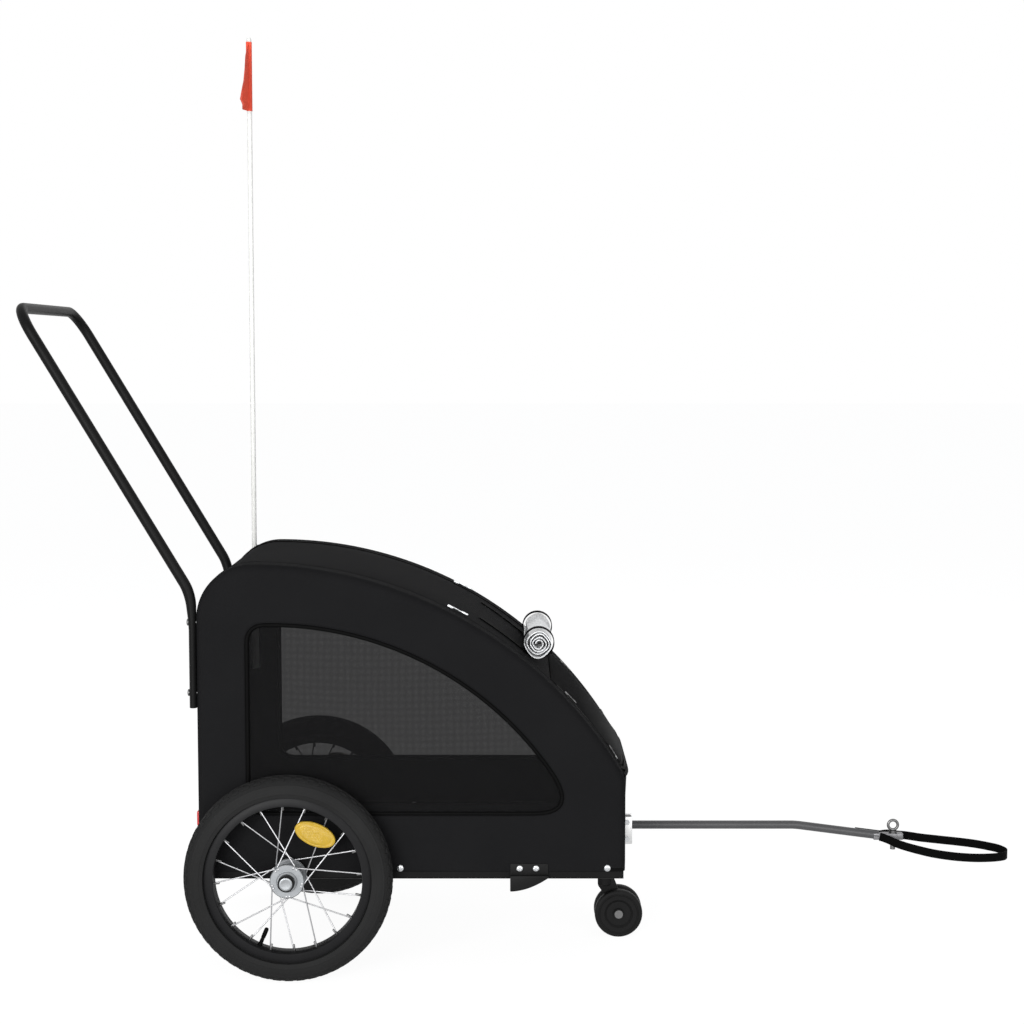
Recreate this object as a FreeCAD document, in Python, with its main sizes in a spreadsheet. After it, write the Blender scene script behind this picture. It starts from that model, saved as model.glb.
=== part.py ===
import FreeCAD, Part
import Sketcher
import math
import os
import re
from FreeCAD import Placement, Rotation, Vector

# Dog bike trailer: a fabric cabin on a steel frame, two spoked wheels, a front caster,
# a push handle, a flag and a tow bar. +X is forward, +Y the trailer's left, +Z up.
# Lengths are in millimetres and are measured from the axle (X), the centre line (Y)
# and the ground (Z). The origin lies on the ground under the middle of the whole length.

SIZES = [
    ("wheel_radius", 152.5, "axle to the tread of a 12 inch tyre"),
    ("wheel_room", 60, "wheels' middles apart, beyond the cabin's width"),
    ("tyre_section", 22, "radius of the tyre's round section"),
    ("tyre_depth", 30.5, "tread down to the rim's outer edge"),
    ("rim_depth", 13.5, "rim's outer edge to its inner face"),
    ("rim_width", 28, "rim across its flanges"),
    ("rim_wall", 3, "rim's sheet and flange thickness"),
    ("spoke_radius", 1, "half a spoke's thickness"),
    ("spoke_beside", 1.1, "a spoke to the middle of its flange"),
    ("hub_width", 46, "hub shell, end to end"),
    ("hub_barrel", 15, "radius of the hub's barrel"),
    ("hub_flange", 25, "radius of the spoke flanges"),
    ("flange_inset", 3.5, "hub end to the outside of a flange"),
    ("flange_width", 5, "thickness of a spoke flange"),
    ("hub_bore", 8, "radius inside the hub between the bearings"),
    ("bearing_radius", 11, "outside of a hub bearing"),
    ("bearing_width", 6, "thickness of a hub bearing"),
    ("axle_radius", 5, "quick release axle"),
    ("axle_length", 135, "axle from its head to its inner end"),
    ("axle_head", 12, "radius of the black axle head"),
    ("axle_head_width", 10, "thickness of the axle head"),
    ("button_radius", 9.8, "silver release button"),
    ("button_proud", 2, "button above the axle head"),
    ("button_travel", 5, "how far the button goes in"),
    ("button_floor", 2, "axle head left under the button's well"),
    ("plunger_radius", 1.9, "rod inside the axle"),
    ("running_gap", 0.05, "radial play of turning and sliding fits"),
    ("seat_gap", 0.3, "play between parts that pass each other"),
    ("sleeve_wall", 2, "wall of the axle sleeve in the rail"),
    ("sleeve_length", 90, "axle sleeve from the hub inwards"),
    ("body_width", 400, "cabin over the fabric"),
    ("body_rear", 135, "axle back to the rear wall"),
    ("body_front", 492, "axle forward to the front wall"),
    ("body_top", 607, "ground to the roof"),
    ("corner_radius", 80, "round of the rear roof corner"),
    ("sill_height", 291, "ground to the top of the front wall"),
    ("fabric", 1.5, "thickness of the cover"),
    ("hem_drop", 8, "cover hem below the rail's top"),
    ("rail_size", 20, "square base rail"),
    ("rail_round", 3, "rounded edges of the rails"),
    ("rail_front_gap", 2, "front wall to the rails' front ends"),
    ("hoop_radius", 8, "half a frame tube"),
    ("roof_tube_setback", 25, "door hinge up to the roof tube, along the roof"),
    ("board_thickness", 4, "floor board"),
    ("board_margin", 5, "floor board to the frame"),
    ("mat_thickness", 6, "floor mat"),
    ("mat_margin", 10, "floor mat inside the board's edge"),
    ("mat_round", 3, "rounded upper edge of the mat"),
    ("window_left", 61, "axle back to the window's rear edge"),
    ("window_sill", 241, "ground to the window's lower edge"),
    ("window_arc", 496, "radius of the window's upper edge"),
    ("window_arc_back", 27, "axle back to the centre of that arc"),
    ("window_top", 520, "ground to the window's upper edge"),
    ("window_round", 26, "rounded window corners"),
    ("mesh", 0.8, "thickness of the window mesh"),
    ("door_width", 300, "front door across"),
    ("door_length", 178, "front door down the slope"),
    ("roll_setback", 43, "door hinge up to the rolled cover, along the roof"),
    ("roll_radius", 22, "rolled rain cover"),
    ("roll_length", 220, "rolled rain cover across"),
    ("roll_sheet", 1.2, "thickness of the rain cover"),
    ("roll_pitch", 4.4, "one turn of the roll to the next"),
    ("strap_reach", 93, "cover strap up the roof from the roll"),
    ("strap_width", 15, "cover strap"),
    ("strap_thick", 1.5, "thickness of the cover strap"),
    ("strap_spread", 176, "from cover strap to cover strap"),
    ("handle_radius", 8, "half the handle tube"),
    ("handle_foot", 397, "ground to the lower end of a handle leg"),
    ("handle_bend", 565, "ground to the bend of the legs"),
    ("handle_top", 980, "ground to the middle of the push bar"),
    ("handle_lean", 30.7, "lean of the legs from upright, in degrees"),
    ("handle_corner", 45, "bend radius at the push bar"),
    ("leg_bend", 70, "bend radius of the legs"),
    ("bolt_radius", 3, "handle bolt shank"),
    ("bolt_head", 5.5, "handle bolt head and nut radius"),
    ("bolt_head_height", 4, "handle bolt head and nut height"),
    ("bolt_low", 419, "ground to the lower handle bolts"),
    ("bolt_high", 523, "ground to the upper handle bolts"),
    ("screw_head", 4, "radius of a rail screw's head"),
    ("screw_head_height", 2.5, "rail screw's head"),
    ("screw_shank", 2, "radius of a rail screw"),
    ("screw_length", 12, "rail screw under its head"),
    ("screw_drop", 3, "rail's top down to the screws"),
    ("screw_rear", 127, "axle back to the rear rail screws"),
    ("screw_mid", 161.5, "axle forward to the middle rail screws"),
    ("screw_set", 26, "cabin's front back to the front rail screws"),
    ("bracket_back", 323, "axle forward to the side bracket's rear end"),
    ("bracket_length", 56, "side bracket along the rail"),
    ("bracket_thick", 3, "side bracket's plate"),
    ("bracket_rise", 4, "rail's underside up to the bracket plate's lower edge"),
    ("bracket_screw_rear", 14, "bracket's rear end to its rear screw"),
    ("bracket_screw_front", 38, "bracket's rear end to its front screw"),
    ("bracket_lip", 16, "curved lip below the rail's underside"),
    ("lip_crest", 35, "bracket's rear end to the middle of the lip's curve"),
    ("lip_crest_rise", 3, "lip's lowest point up to the middle of its curve"),
    ("lip_depth", 10, "lip standing out from the side"),
    ("reflector_height", 24, "rear reflector"),
    ("reflector_width", 42, "rear reflector across"),
    ("reflector_thick", 7, "rear reflector"),
    ("reflector_low", 214, "ground to the rear reflector"),
    ("reflector_spread", 300, "from rear reflector to rear reflector"),
    ("amber_long", 31, "half the length of a wheel reflector"),
    ("amber_short", 16.5, "half the height of a wheel reflector"),
    ("amber_thick", 6, "wheel reflector"),
    ("amber_inset", 43, "rim's outer edge in to the middle of a wheel reflector"),
    ("valve_radius", 3.5, "tyre valve"),
    ("valve_length", 28, "tyre valve inside the rim"),
    ("pole_radius", 4, "flag pole"),
    ("pole_back", 98, "axle back to the flag pole"),
    ("pole_foot", 397, "ground to the pole's lower end"),
    ("pole_top", 1420, "ground to the pole's upper end"),
    ("pole_clear", 2.5, "gap between the flag pole and the side hoop"),
    ("pole_sleeve", 70, "depth of the pole's pocket"),
    ("pole_sleeve_wall", 2, "wall of the pole's pocket"),
    ("flag_height", 106, "pennant at the pole"),
    ("flag_reach", 86, "pennant from the pole to its folded tip"),
    ("flag_thick", 0.8, "pennant cloth"),
    ("flag_fold", 11, "depth of the pennant's fold"),
    ("flag_tip", 21, "pennant's height at its tip"),
    ("bar_radius", 6.5, "half the tow bar"),
    ("bar_rise", 12.5, "rails' top up to the tow bar"),
    ("bar_slope", 131, "tow bar's bend back from its end"),
    ("bar_reach", 410, "tow bar's end ahead of the cabin"),
    ("bar_drop", 17, "fall of the tow bar past the bend"),
    ("bar_bend_radius", 120, "bend of the tow bar"),
    ("clevis_depth", 24, "tow bracket forward of the front rail"),
    ("clevis_width", 25, "tow bracket across its cheeks"),
    ("clevis_below", 28, "tow bar down to the tow bracket's lower edge"),
    ("clevis_above", 15, "tow bar up to the tow bracket's upper edge"),
    ("clevis_plate", 4, "plate of the tow bracket"),
    ("clevis_flange", 60, "tow bracket's back plate across"),
    ("tow_bolt_inset", 8, "tow bracket's edges to its bolts"),
    ("tongue_length", 46, "hitch tongue"),
    ("tongue_height", 10, "hitch tongue's thickness"),
    ("tongue_lap", 8, "hitch tongue back over the bar's end"),
    ("tongue_sink", 1, "tow bar's end down to the middle of the tongue"),
    ("pin_set", 31, "hitch pin ahead of the tongue's rear end"),
    ("pin_radius", 4, "hitch pin below the tongue"),
    ("pin_shoulder", 4.5, "hitch pin inside the tongue"),
    ("pin_free", 16, "hitch pin below the tongue"),
    ("pin_collar", 6, "radius of the pin's collar"),
    ("pin_collar_height", 4, "pin's collar"),
    ("eye_radius", 7.5, "middle of the pin's pull ring"),
    ("eye_wire", 2.2, "half the pull ring's wire"),
    ("eye_sink", 1.1, "pull ring let into the collar"),
    ("web_width", 13, "safety strap webbing"),
    ("web_thick", 1.8, "thickness of the webbing"),
    ("web_near_set", 1, "strap's near end ahead of the bar's end"),
    ("web_far_set", 36, "strap's far end back from the bar's end"),
    ("web_reach", 203, "loop's end ahead of the bar's end"),
    ("web_fall", 27, "loop's end below the strap's near end"),
    ("web_seat", 0.5, "strap's near end below the bar's end"),
    ("web_half", 52, "centre line to the loop's widest place"),
    ("web_lead", 3, "sewn lead along the tongue before the loop spreads"),
    ("caster_space", 67.5, "rails' underside down to the tops of the caster wheels"),
    ("caster_wide", 15, "one caster wheel"),
    ("caster_web", 11, "caster body between its wheels"),
    ("caster_side_gap", 0.9, "caster body to a caster wheel"),
    ("caster_edge", 3, "rounded edge of a caster wheel, inwards"),
    ("caster_edge_wide", 3.75, "rounded edge of a caster wheel, across"),
    ("dish_shift", 1, "dish's rim out from midway between the hub face and the edge"),
    ("dish_slope", 3.75, "dish's rim in to its floor"),
    ("dish_depth", 3, "depth of a caster wheel's dish"),
    ("caster_hub", 8.5, "radius of a caster wheel's hub face"),
    ("caster_cheek", 9.6, "caster body round its axle"),
    ("neck_front", 12, "caster axle up to the front of the body's neck"),
    ("neck_rear", 8, "caster axle up to the rear of the body's neck"),
    ("caster_lead", 21, "caster stem forward to the wheel's axle"),
    ("caster_set", 20, "cabin's front back to the caster's stem"),
    ("stem_radius", 5, "caster stem"),
    ("stem_set", 4.5, "rails' underside down to the stem's upper end"),
    ("stem_play", 1, "stem's upper end to the socket's floor"),
    ("stem_boss", 11, "boss round the stem"),
    ("boss_clear", 4, "tops of the caster wheels up to the boss"),
    ("boss_height", 19, "boss round the stem, upwards"),
    ("socket_radius", 13, "stem socket under the front rail"),
    ("socket_clear", 4, "boss up to the socket's mouth"),
    ("socket_plate", 42, "square plate of the socket"),
    ("socket_plate_thick", 3, "plate of the socket"),
    ("caster_pin", 4, "radius of the caster's axle"),
    ("caster_rivet", 6.5, "rivet heads of the caster's axle"),
    ("caster_rivet_height", 2, "rivet heads of the caster's axle"),
]

# Counts and angles in degrees, as read from the photo's near wheel.
SPOKES = 20
SPOKE_TURN = 18.0
SPOKE_PHASE = 3.9
SPOKE_LEAN = 60.0
ROLL_HALF_TURNS = 8
AMBER_ANGLE = 59.0
AMBER_TILT = -23.0
VALVE_ANGLE = 246.9
# The safety strap's loop, from its near end to its tip: share of the length, of the half width, of the fall.
LOOP_SHAPE = [(0.06, 0.37, 0.08), (0.104, 0.57, 0.167), (0.163, 0.7, 0.278), (0.257, 0.865, 0.415),
              (0.381, 0.955, 0.593), (0.53, 1.0, 0.737), (0.678, 0.955, 0.837), (0.8, 0.825, 0.9),
              (0.9, 0.62, 0.956), (0.965, 0.385, 0.985)]
LOOP_STEPS = 72
LEAD_STEPS = 15
# The rear cross tube lies this many degrees up the cabin's rear corner, clear of the flag pole.
CORNER_TUBE = math.radians(25)
# Two coordinates nearer than this count as the same.
SAME = 0.01

doc = FreeCAD.newDocument("dog_bike_trailer")
sheet = doc.addObject("Spreadsheet::Sheet", "Sizes")


def write_cell(row, alias, content, note):
    sheet.set("A%d" % row, note)
    sheet.set("B%d" % row, content)
    sheet.setAlias("B%d" % row, alias)


for number, (word, amount, meaning) in enumerate(SIZES, start=1):
    write_cell(number, word, repr(amount), meaning)
doc.recompute()

# Sizes that follow from others are formulas in the same sheet.
FOLLOWING = [
    ("track", "body_width + wheel_room", "from wheel middle to wheel middle"),
    ("rim_radius", "wheel_radius - tyre_depth", "axle to the rim's outer edge"),
    ("amber_out", "rim_radius - amber_inset", "axle to the middle of a wheel reflector"),
    ("rail_top", "wheel_radius + rail_size / 2", "ground to the rails' top"),
    ("rail_low", "wheel_radius - rail_size / 2", "ground to the rails' underside"),
    ("caster_radius", "(rail_low - caster_space) / 2", "caster wheels, which stand on the ground under the rails"),
    ("dish_rim", "(caster_radius - caster_edge + caster_hub) / 2 + dish_shift", "radius of a caster wheel's dish"),
    ("dish_floor", "dish_rim - dish_slope", "radius of that dish at its floor"),
    ("boss_low", "2 * caster_radius + boss_clear", "ground to the underside of the boss"),
    ("boss_high", "boss_low + boss_height", "ground to the top of the boss"),
    ("socket_low", "boss_high + socket_clear", "ground to the socket's mouth"),
    ("stem_top", "rail_low - stem_set", "ground to the stem's upper end"),
    ("bar_height", "rail_top + bar_rise", "ground to the tow bar"),
    ("clevis_low", "bar_height - clevis_below", "ground to the tow bracket's lower edge"),
    ("clevis_high", "bar_height + clevis_above", "ground to the tow bracket's upper edge"),
    ("tongue_mid", "bar_height - bar_drop - tongue_sink", "ground to the middle of the tongue"),
    ("caster_place", "body_front - caster_set", "axle forward to the caster's stem"),
    ("bar_end", "body_front + bar_reach", "axle forward to the tow bar's end"),
    ("bar_bend", "bar_end - bar_slope", "axle forward to the tow bar's bend"),
    ("tongue_start", "bar_end - tongue_lap", "axle forward to the hitch tongue"),
    ("pin_place", "tongue_start + pin_set", "axle forward to the hitch pin"),
    ("web_near", "bar_end + web_near_set", "axle forward to the strap's near end"),
    ("web_far", "bar_end - web_far_set", "axle forward to the strap's far end"),
    ("web_tip", "bar_end + web_reach", "axle forward to the end of the strap's loop"),
    ("web_near_height", "bar_height - bar_drop - web_seat", "ground to the strap's middle at its near end"),
    ("web_tip_height", "web_near_height - web_fall", "ground to the middle of the loop's end"),
    ("frame_half", "body_width / 2 - fabric", "centre line to the frame's outside"),
    ("hoop_y", "frame_half - hoop_radius", "centre line to the frame tubes"),
    ("rail_front", "body_front - rail_front_gap", "axle forward to the rails' ends"),
    ("leg_back", "body_rear + handle_radius + seat_gap", "axle back to the handle legs"),
    ("push_bar", "leg_back + tan(handle_lean * 1 deg) * (handle_top - handle_bend)", "axle back to the push bar"),
    ("axle_x", "(push_bar + handle_radius - web_tip) / 2", "axle from the origin"),
    ("pole_y", "hoop_y - hoop_radius - pole_radius - pole_clear", "centre line to the flag pole"),
    ("tongue_top", "tongue_mid + tongue_height / 2", "ground to the tongue's top"),
    ("roof_x", "corner_radius - body_rear", "axle to the centre of the roof's sweep"),
    ("roof_fall", "body_top - sill_height", "roof's top down to the front wall"),
    ("roof_radius", "((body_front - roof_x) ^ 2 + roof_fall ^ 2) / (2 * roof_fall)", "sweep of the roof"),
    ("roof_z", "body_top - roof_radius", "ground to the centre of the roof's sweep"),
    ("sill_rise", "sill_height - roof_z", "that centre up to the front wall's top"),
]
for number, (word, formula, meaning) in enumerate(FOLLOWING, start=len(SIZES) + 1):
    write_cell(number, word, "=" + formula, meaning)
    doc.recompute()


def mm(word):
    """The sheet's value of one size."""
    return float(sheet.get(word))


half_width = mm("body_width") / 2
leg_x = -mm("leg_back")
push_bar_x = -mm("push_bar")
roof_x = mm("roof_x")
roof_z = mm("roof_z")
sill_angle = math.asin((mm("body_front") - roof_x) / mm("roof_radius"))
door_angle = sill_angle - mm("door_length") / mm("roof_radius")
roll_angle = door_angle - mm("roll_setback") / mm("roof_radius")

PIECES = []


def cells(text):
    """Write a formula of size names as the document's expression."""
    return re.sub(r"[a-z]\w{2,}", r"Sizes.\g<0>", text)


def bind(item, **formulas):
    for name, text in formulas.items():
        item.setExpression(name, cells(text))
    return item


TURNS = {"Z": Rotation(), "Y": Rotation(Vector(1, 0, 0), -90), "X": Rotation(Vector(0, 1, 0), 90)}


def place(item, x="0", y="0", z="0", turn=TURNS["Z"]):
    """Put an object at x forward of the axle, y left and z above the ground."""
    item.Placement = Placement(Vector(), turn)
    item.setExpression("Placement.Base.x", cells("axle_x + " + x))
    item.setExpression("Placement.Base.y", cells(y))
    item.setExpression("Placement.Base.z", cells(z))
    return item


def box(name, x, y, z, length, width, height):
    item = doc.addObject("Part::Box", name)
    bind(item, Length=length, Width=width, Height=height)
    return place(item, x, y, z)


def rod(name, radius, length, x, y, z, along="Y"):
    item = doc.addObject("Part::Cylinder", name)
    bind(item, Radius=radius, Height=length)
    return place(item, x, y, z, TURNS[along])


def cut(name, base, tool):
    item = doc.addObject("Part::Cut", name)
    item.Base = base
    item.Tool = tool
    return item


def fuse(name, *items):
    item = doc.addObject("Part::MultiFuse", name)
    item.Shapes = list(items)
    return item


def group(name, *items):
    item = doc.addObject("Part::Compound", name)
    item.Links = list(items)
    return item


def mirrored(name, source):
    """The same piece on the other side of the centre line."""
    item = doc.addObject("Part::Mirroring", name)
    item.Source = source
    item.Normal = Vector(0, 1, 0)
    return item


def solid(name, shape):
    item = doc.addObject("Part::Feature", name)
    item.Shape = shape
    return item


def piece(label, item):
    """Name a finished sub-part, which is written to a file of that name."""
    item.Label = label
    PIECES.append(item)
    return item


def pair(label, item):
    """A left piece and its right twin."""
    piece("left_" + label, item)
    piece("right_" + label, mirrored("right_" + label, item))


def closed_sketch(body, name, plane, points):
    """A closed polygon, drawn as a small ring, whose corners are then bound to formulas of the sheet."""
    sketch = body.newObject("Sketcher::SketchObject", name)
    base = [item for item in body.Origin.OriginFeatures if item.Role == plane][0]
    sketch.AttachmentSupport = (base, [""])
    sketch.MapMode = "FlatFace"
    count = len(points)
    turn = 2 * math.pi / count
    start = [Vector(2 + math.cos(turn * i), 2 + math.sin(turn * i), 0) for i in range(count)]
    for i in range(count):
        sketch.addGeometry(Part.LineSegment(start[i], start[(i + 1) % count]), False)
    for i in range(count):
        sketch.addConstraint(Sketcher.Constraint("Coincident", i, 2, (i + 1) % count, 1))
    for i, (across, up) in enumerate(points):
        if across == "0":
            sketch.addConstraint(Sketcher.Constraint("PointOnObject", i, 1, -2))
        else:
            index = sketch.addConstraint(Sketcher.Constraint("DistanceX", -1, 1, i, 1, start[i].x))
            sketch.setExpression("Constraints[%d]" % index, cells(across))
        index = sketch.addConstraint(Sketcher.Constraint("DistanceY", -1, 1, i, 1, start[i].y))
        sketch.setExpression("Constraints[%d]" % index, cells(up))
    return sketch


def lathe(name, points, x="0", z="wheel_radius"):
    """Turn a closed section, given as (radius, place along Y), about a line along Y."""
    body = doc.addObject("PartDesign::Body", name)
    sketch = closed_sketch(body, name + "_section", "XY_Plane", points)
    turned = body.newObject("PartDesign::Revolution", name + "_turned")
    turned.Profile = sketch
    turned.ReferenceAxis = (sketch, ["V_Axis"])
    turned.Angle = 360
    return place(body, x, "0", z)


def slab(name, points, thickness):
    """Pad an outline in the side view, given as (x, z), evenly about the centre line."""
    body = doc.addObject("PartDesign::Body", name)
    sketch = closed_sketch(body, name + "_outline", "XZ_Plane", points)
    padded = body.newObject("PartDesign::Pad", name + "_pad")
    padded.Profile = sketch
    padded.Midplane = True
    padded.setExpression("Length", cells(thickness))
    return place(body)


# Side view helpers: a point in the cabin's own plan of X and Z.
def at(x, z, y=0.0):
    return Vector(mm("axle_x") + x, y, z)


def roof_at(angle, radius, y=0.0):
    """A point at an angle forward of upright about the centre of the roof's sweep."""
    return at(roof_x + radius * math.sin(angle), roof_z + radius * math.cos(angle), y)


def line(a, b):
    return Part.LineSegment(a, b).toShape()


def arc(a, b, c):
    return Part.Arc(a, b, c).toShape()


def cover_line(inset, foot, y=0.0):
    """The cabin's outline from the rear foot over the roof to the front sill."""
    rear = inset - mm("body_rear")
    corner_z = mm("body_top") - mm("corner_radius")
    corner = mm("corner_radius") - inset
    roof = mm("roof_radius") - inset
    front = mm("body_front") - inset
    end = math.asin((front - roof_x) / roof)
    half = math.radians(45)
    rear_top = at(rear, corner_z, y)
    corner_mid = at(roof_x - corner * math.sin(half), corner_z + corner * math.cos(half), y)
    crown = at(roof_x, corner_z + corner, y)
    return [line(at(rear, foot, y), rear_top),
            arc(rear_top, corner_mid, crown),
            arc(crown, roof_at(end / 2, roof, y), roof_at(end, roof, y))]


def sector(low_radius, high_radius, start, end, y_low, y_high):
    """A slice of the roof's sweep between two radii, two angles and two widths."""
    angles = (start, (start + end) / 2, end)
    inner = [roof_at(angle, low_radius, y_low) for angle in angles]
    outer = [roof_at(angle, high_radius, y_low) for angle in angles]
    edges = [arc(*inner), line(inner[2], outer[2]), arc(*outer), line(outer[0], inner[0])]
    edges = Part.__sortEdges__(edges)
    return Part.Face(Part.Wire(edges)).extrude(Vector(0, y_high - y_low, 0))


def bent_path(points, radii):
    """Straight runs joined by tangent arcs, one radius for each inner point."""
    edges = []
    last = points[0]
    for i in range(1, len(points) - 1):
        back = (points[i - 1] - points[i]).normalize()
        ahead = (points[i + 1] - points[i]).normalize()
        half = math.acos(max(-1.0, min(1.0, back.dot(ahead)))) / 2
        reach = radii[i - 1] / math.tan(half)
        first = points[i] + back * reach
        second = points[i] + ahead * reach
        middle_way = (back + ahead).normalize()
        centre = points[i] + middle_way * (radii[i - 1] / math.sin(half))
        edges.append(line(last, first))
        edges.append(arc(first, centre - middle_way * radii[i - 1], second))
        last = second
    edges.append(line(last, points[-1]))
    return Part.Wire(edges)


def tube(name, path, radius, start, direction):
    """Sweep a round section, bound to the sheet, along a path."""
    spine = solid(name + "_path", path)
    ring = doc.addObject("Part::Circle", name + "_ring")
    bind(ring, Radius=radius)
    ring.Placement = Placement(start, Rotation(Vector(0, 0, 1), direction))
    sweep = doc.addObject("Part::Sweep", name)
    sweep.Sections = [ring]
    sweep.Spine = spine
    sweep.Solid = True
    return sweep


# Wheels. The left one is built and mirrored. Places along Y run from the centre line.
wheel_y = "track / 2"
hub_end = wheel_y + " + hub_width / 2"
hub_root = wheel_y + " - hub_width / 2"


def wheel_hoop(name, radius, width):
    return rod(name, radius, width, "0", wheel_y + " - (%s) / 2" % width, "wheel_radius")


carcass = doc.addObject("Part::Torus", "tyre_carcass")
bind(carcass, Radius1="wheel_radius - tyre_section", Radius2="tyre_section")
place(carcass, "0", wheel_y, "wheel_radius", TURNS["Y"])
bead_width = "rim_width - 2 * rim_wall"
bead = cut("tyre_bead", wheel_hoop("bead_outer", "rim_radius", bead_width),
           wheel_hoop("bead_inner", "rim_radius - rim_depth + rim_wall", bead_width))
tread = cut("tyre_tread", carcass, wheel_hoop("rim_space", "rim_radius", "2 * tyre_section"))
pair("tyre", fuse("left_tyre", tread, bead))

flange_y = [wheel_y + " - rim_width / 2", wheel_y + " - rim_width / 2 + rim_wall",
            wheel_y + " + rim_width / 2 - rim_wall", wheel_y + " + rim_width / 2"]
rim_base = "rim_radius - rim_depth"
pair("rim", lathe("left_rim", [
    (rim_base, flange_y[0]), ("rim_radius", flange_y[0]), ("rim_radius", flange_y[1]),
    (rim_base + " + rim_wall", flange_y[1]), (rim_base + " + rim_wall", flange_y[2]),
    ("rim_radius", flange_y[2]), ("rim_radius", flange_y[3]), (rim_base, flange_y[3])]))


def hub_section():
    """Barrel, two spoke flanges and a seat for a bearing at each end."""
    outer = [hub_root, hub_root + " + flange_inset", hub_root + " + flange_inset + flange_width",
             hub_end + " - flange_inset - flange_width", hub_end + " - flange_inset", hub_end]
    seats = [hub_end + " - bearing_width", hub_root + " + bearing_width"]
    section = [("hub_barrel", outer[0]), ("hub_barrel", outer[1])]
    section += [("hub_flange", outer[1]), ("hub_flange", outer[2]), ("hub_barrel", outer[2])]
    section += [("hub_barrel", outer[3]), ("hub_flange", outer[3]), ("hub_flange", outer[4])]
    section += [("hub_barrel", outer[4]), ("hub_barrel", outer[5]), ("bearing_radius", outer[5])]
    section += [("bearing_radius", seats[0]), ("hub_bore", seats[0]), ("hub_bore", seats[1])]
    section += [("bearing_radius", seats[1]), ("bearing_radius", outer[0])]
    return section


pair("hub", lathe("left_hub", hub_section()))


def bearing(name, y):
    outer = rod(name + "_race", "bearing_radius", "bearing_width", "0", y, "wheel_radius")
    hole = rod(name + "_hole", "axle_radius + running_gap", "bearing_width", "0", y, "wheel_radius")
    return cut(name, outer, hole)


pair("bearings", group("left_bearings", bearing("outer_bearing", hub_end + " - bearing_width"),
                       bearing("inner_bearing", hub_root)))


spoke_root = mm("hub_flange") - mm("flange_width") / 2
spoke_end = mm("rim_radius") - mm("rim_depth") + mm("rim_wall")
spoke_foot_y = mm("hub_width") / 2 - mm("flange_inset") - mm("flange_width") / 2
spoke_head_y = mm("rim_wall")
spoke_beside = mm("spoke_beside")


def wheel_point(radius, angle, y):
    """A point of the wheel at an angle up from straight ahead."""
    return at(radius * math.cos(angle), mm("wheel_radius") + radius * math.sin(angle), y)


def spoke_set():
    """Crossed spokes from both hub flanges, cut off at the flange and at the rim."""
    rim_inside = mm("rim_radius") - mm("rim_depth")
    rods = []
    for number in range(SPOKES):
        side = 1 if number % 2 == 0 else -1
        pull = 1 if (number // 2) % 2 == 0 else -1
        rim_turn = math.radians(SPOKE_PHASE + SPOKE_TURN * number)
        hub_turn = rim_turn + math.radians(SPOKE_LEAN) * pull
        foot_y = mm("track") / 2 + side * spoke_foot_y + pull * spoke_beside
        tip_y = mm("track") / 2 + side * spoke_head_y + pull * spoke_beside
        foot = wheel_point(spoke_root, hub_turn, foot_y)
        head = wheel_point(spoke_end, rim_turn, tip_y)
        rods.append(Part.makeCylinder(mm("spoke_radius"), (head - foot).Length, foot, head - foot))
    middle = at(0, mm("wheel_radius"), mm("track") / 2 - mm("hub_width"))
    along = Vector(0, 1, 0)
    ring = Part.makeCylinder(rim_inside, 2 * mm("hub_width"), middle, along)
    ring = ring.cut(Part.makeCylinder(mm("hub_flange"), 2 * mm("hub_width"), middle, along))
    return Part.makeCompound([item.common(ring) for item in rods])


pair("spokes", solid("left_spokes", spoke_set()))

oval = doc.addObject("Part::Ellipse", "amber_outline")
bind(oval, MajorRadius="amber_long", MinorRadius="amber_short")
spoke_fall = (spoke_foot_y - spoke_head_y) / (spoke_end - spoke_root)
spoke_face = spoke_foot_y - spoke_fall * (mm("amber_out") - spoke_root) + spoke_beside + mm("spoke_radius")
amber_y = mm("track") / 2 + spoke_face + mm("seat_gap")
oval.Placement = Placement(wheel_point(mm("amber_out"), math.radians(AMBER_ANGLE), amber_y),
                           Rotation(Vector(0, 1, 0), -AMBER_TILT) * TURNS["Y"])
lens = doc.addObject("Part::Extrusion", "left_wheel_reflector")
lens.Base = oval
lens.DirMode = "Custom"
lens.Dir = Vector(0, 1, 0)
lens.Solid = True
bind(lens, LengthFwd="amber_thick")
pair("wheel_reflector", lens)

valve_turn = math.radians(VALVE_ANGLE)
valve_reach = mm("rim_radius") - mm("rim_depth") - mm("seat_gap")
valve_root = wheel_point(valve_reach, valve_turn, mm("track") / 2)
valve_way = Vector(-math.cos(valve_turn), 0, -math.sin(valve_turn))
stem = doc.addObject("Part::Cylinder", "left_valve")
bind(stem, Radius="valve_radius", Height="valve_length")
stem.Placement = Placement(valve_root, Rotation(Vector(0, 0, 1), valve_way))
pair("valve", stem)

# Quick release axles: a hollow axle with a sprung plunger and a button in its head.
head_y = hub_end + " + seat_gap"
well_y = head_y + " + button_floor"
head_end = head_y + " + axle_head_width"
axle_root = head_y + " - axle_length"
plunger_bore = "plunger_radius + running_gap"
well_radius = "button_radius + running_gap"
pair("axle", lathe("left_axle", [
    (plunger_bore, axle_root), ("axle_radius", axle_root), ("axle_radius", head_y), ("axle_head", head_y),
    ("axle_head", head_end), (well_radius, head_end), (well_radius, well_y), (plunger_bore, well_y)]))

cap_y = well_y + " + button_travel + seat_gap"
cap_end = head_end + " + button_proud"
plunger_end = axle_root + " + button_travel + button_floor"
pair("release_button", lathe("left_release_button", [
    ("0", plunger_end), ("plunger_radius", plunger_end), ("plunger_radius", cap_y), ("button_radius", cap_y),
    ("button_radius", cap_end), ("0", cap_end)]))

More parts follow.
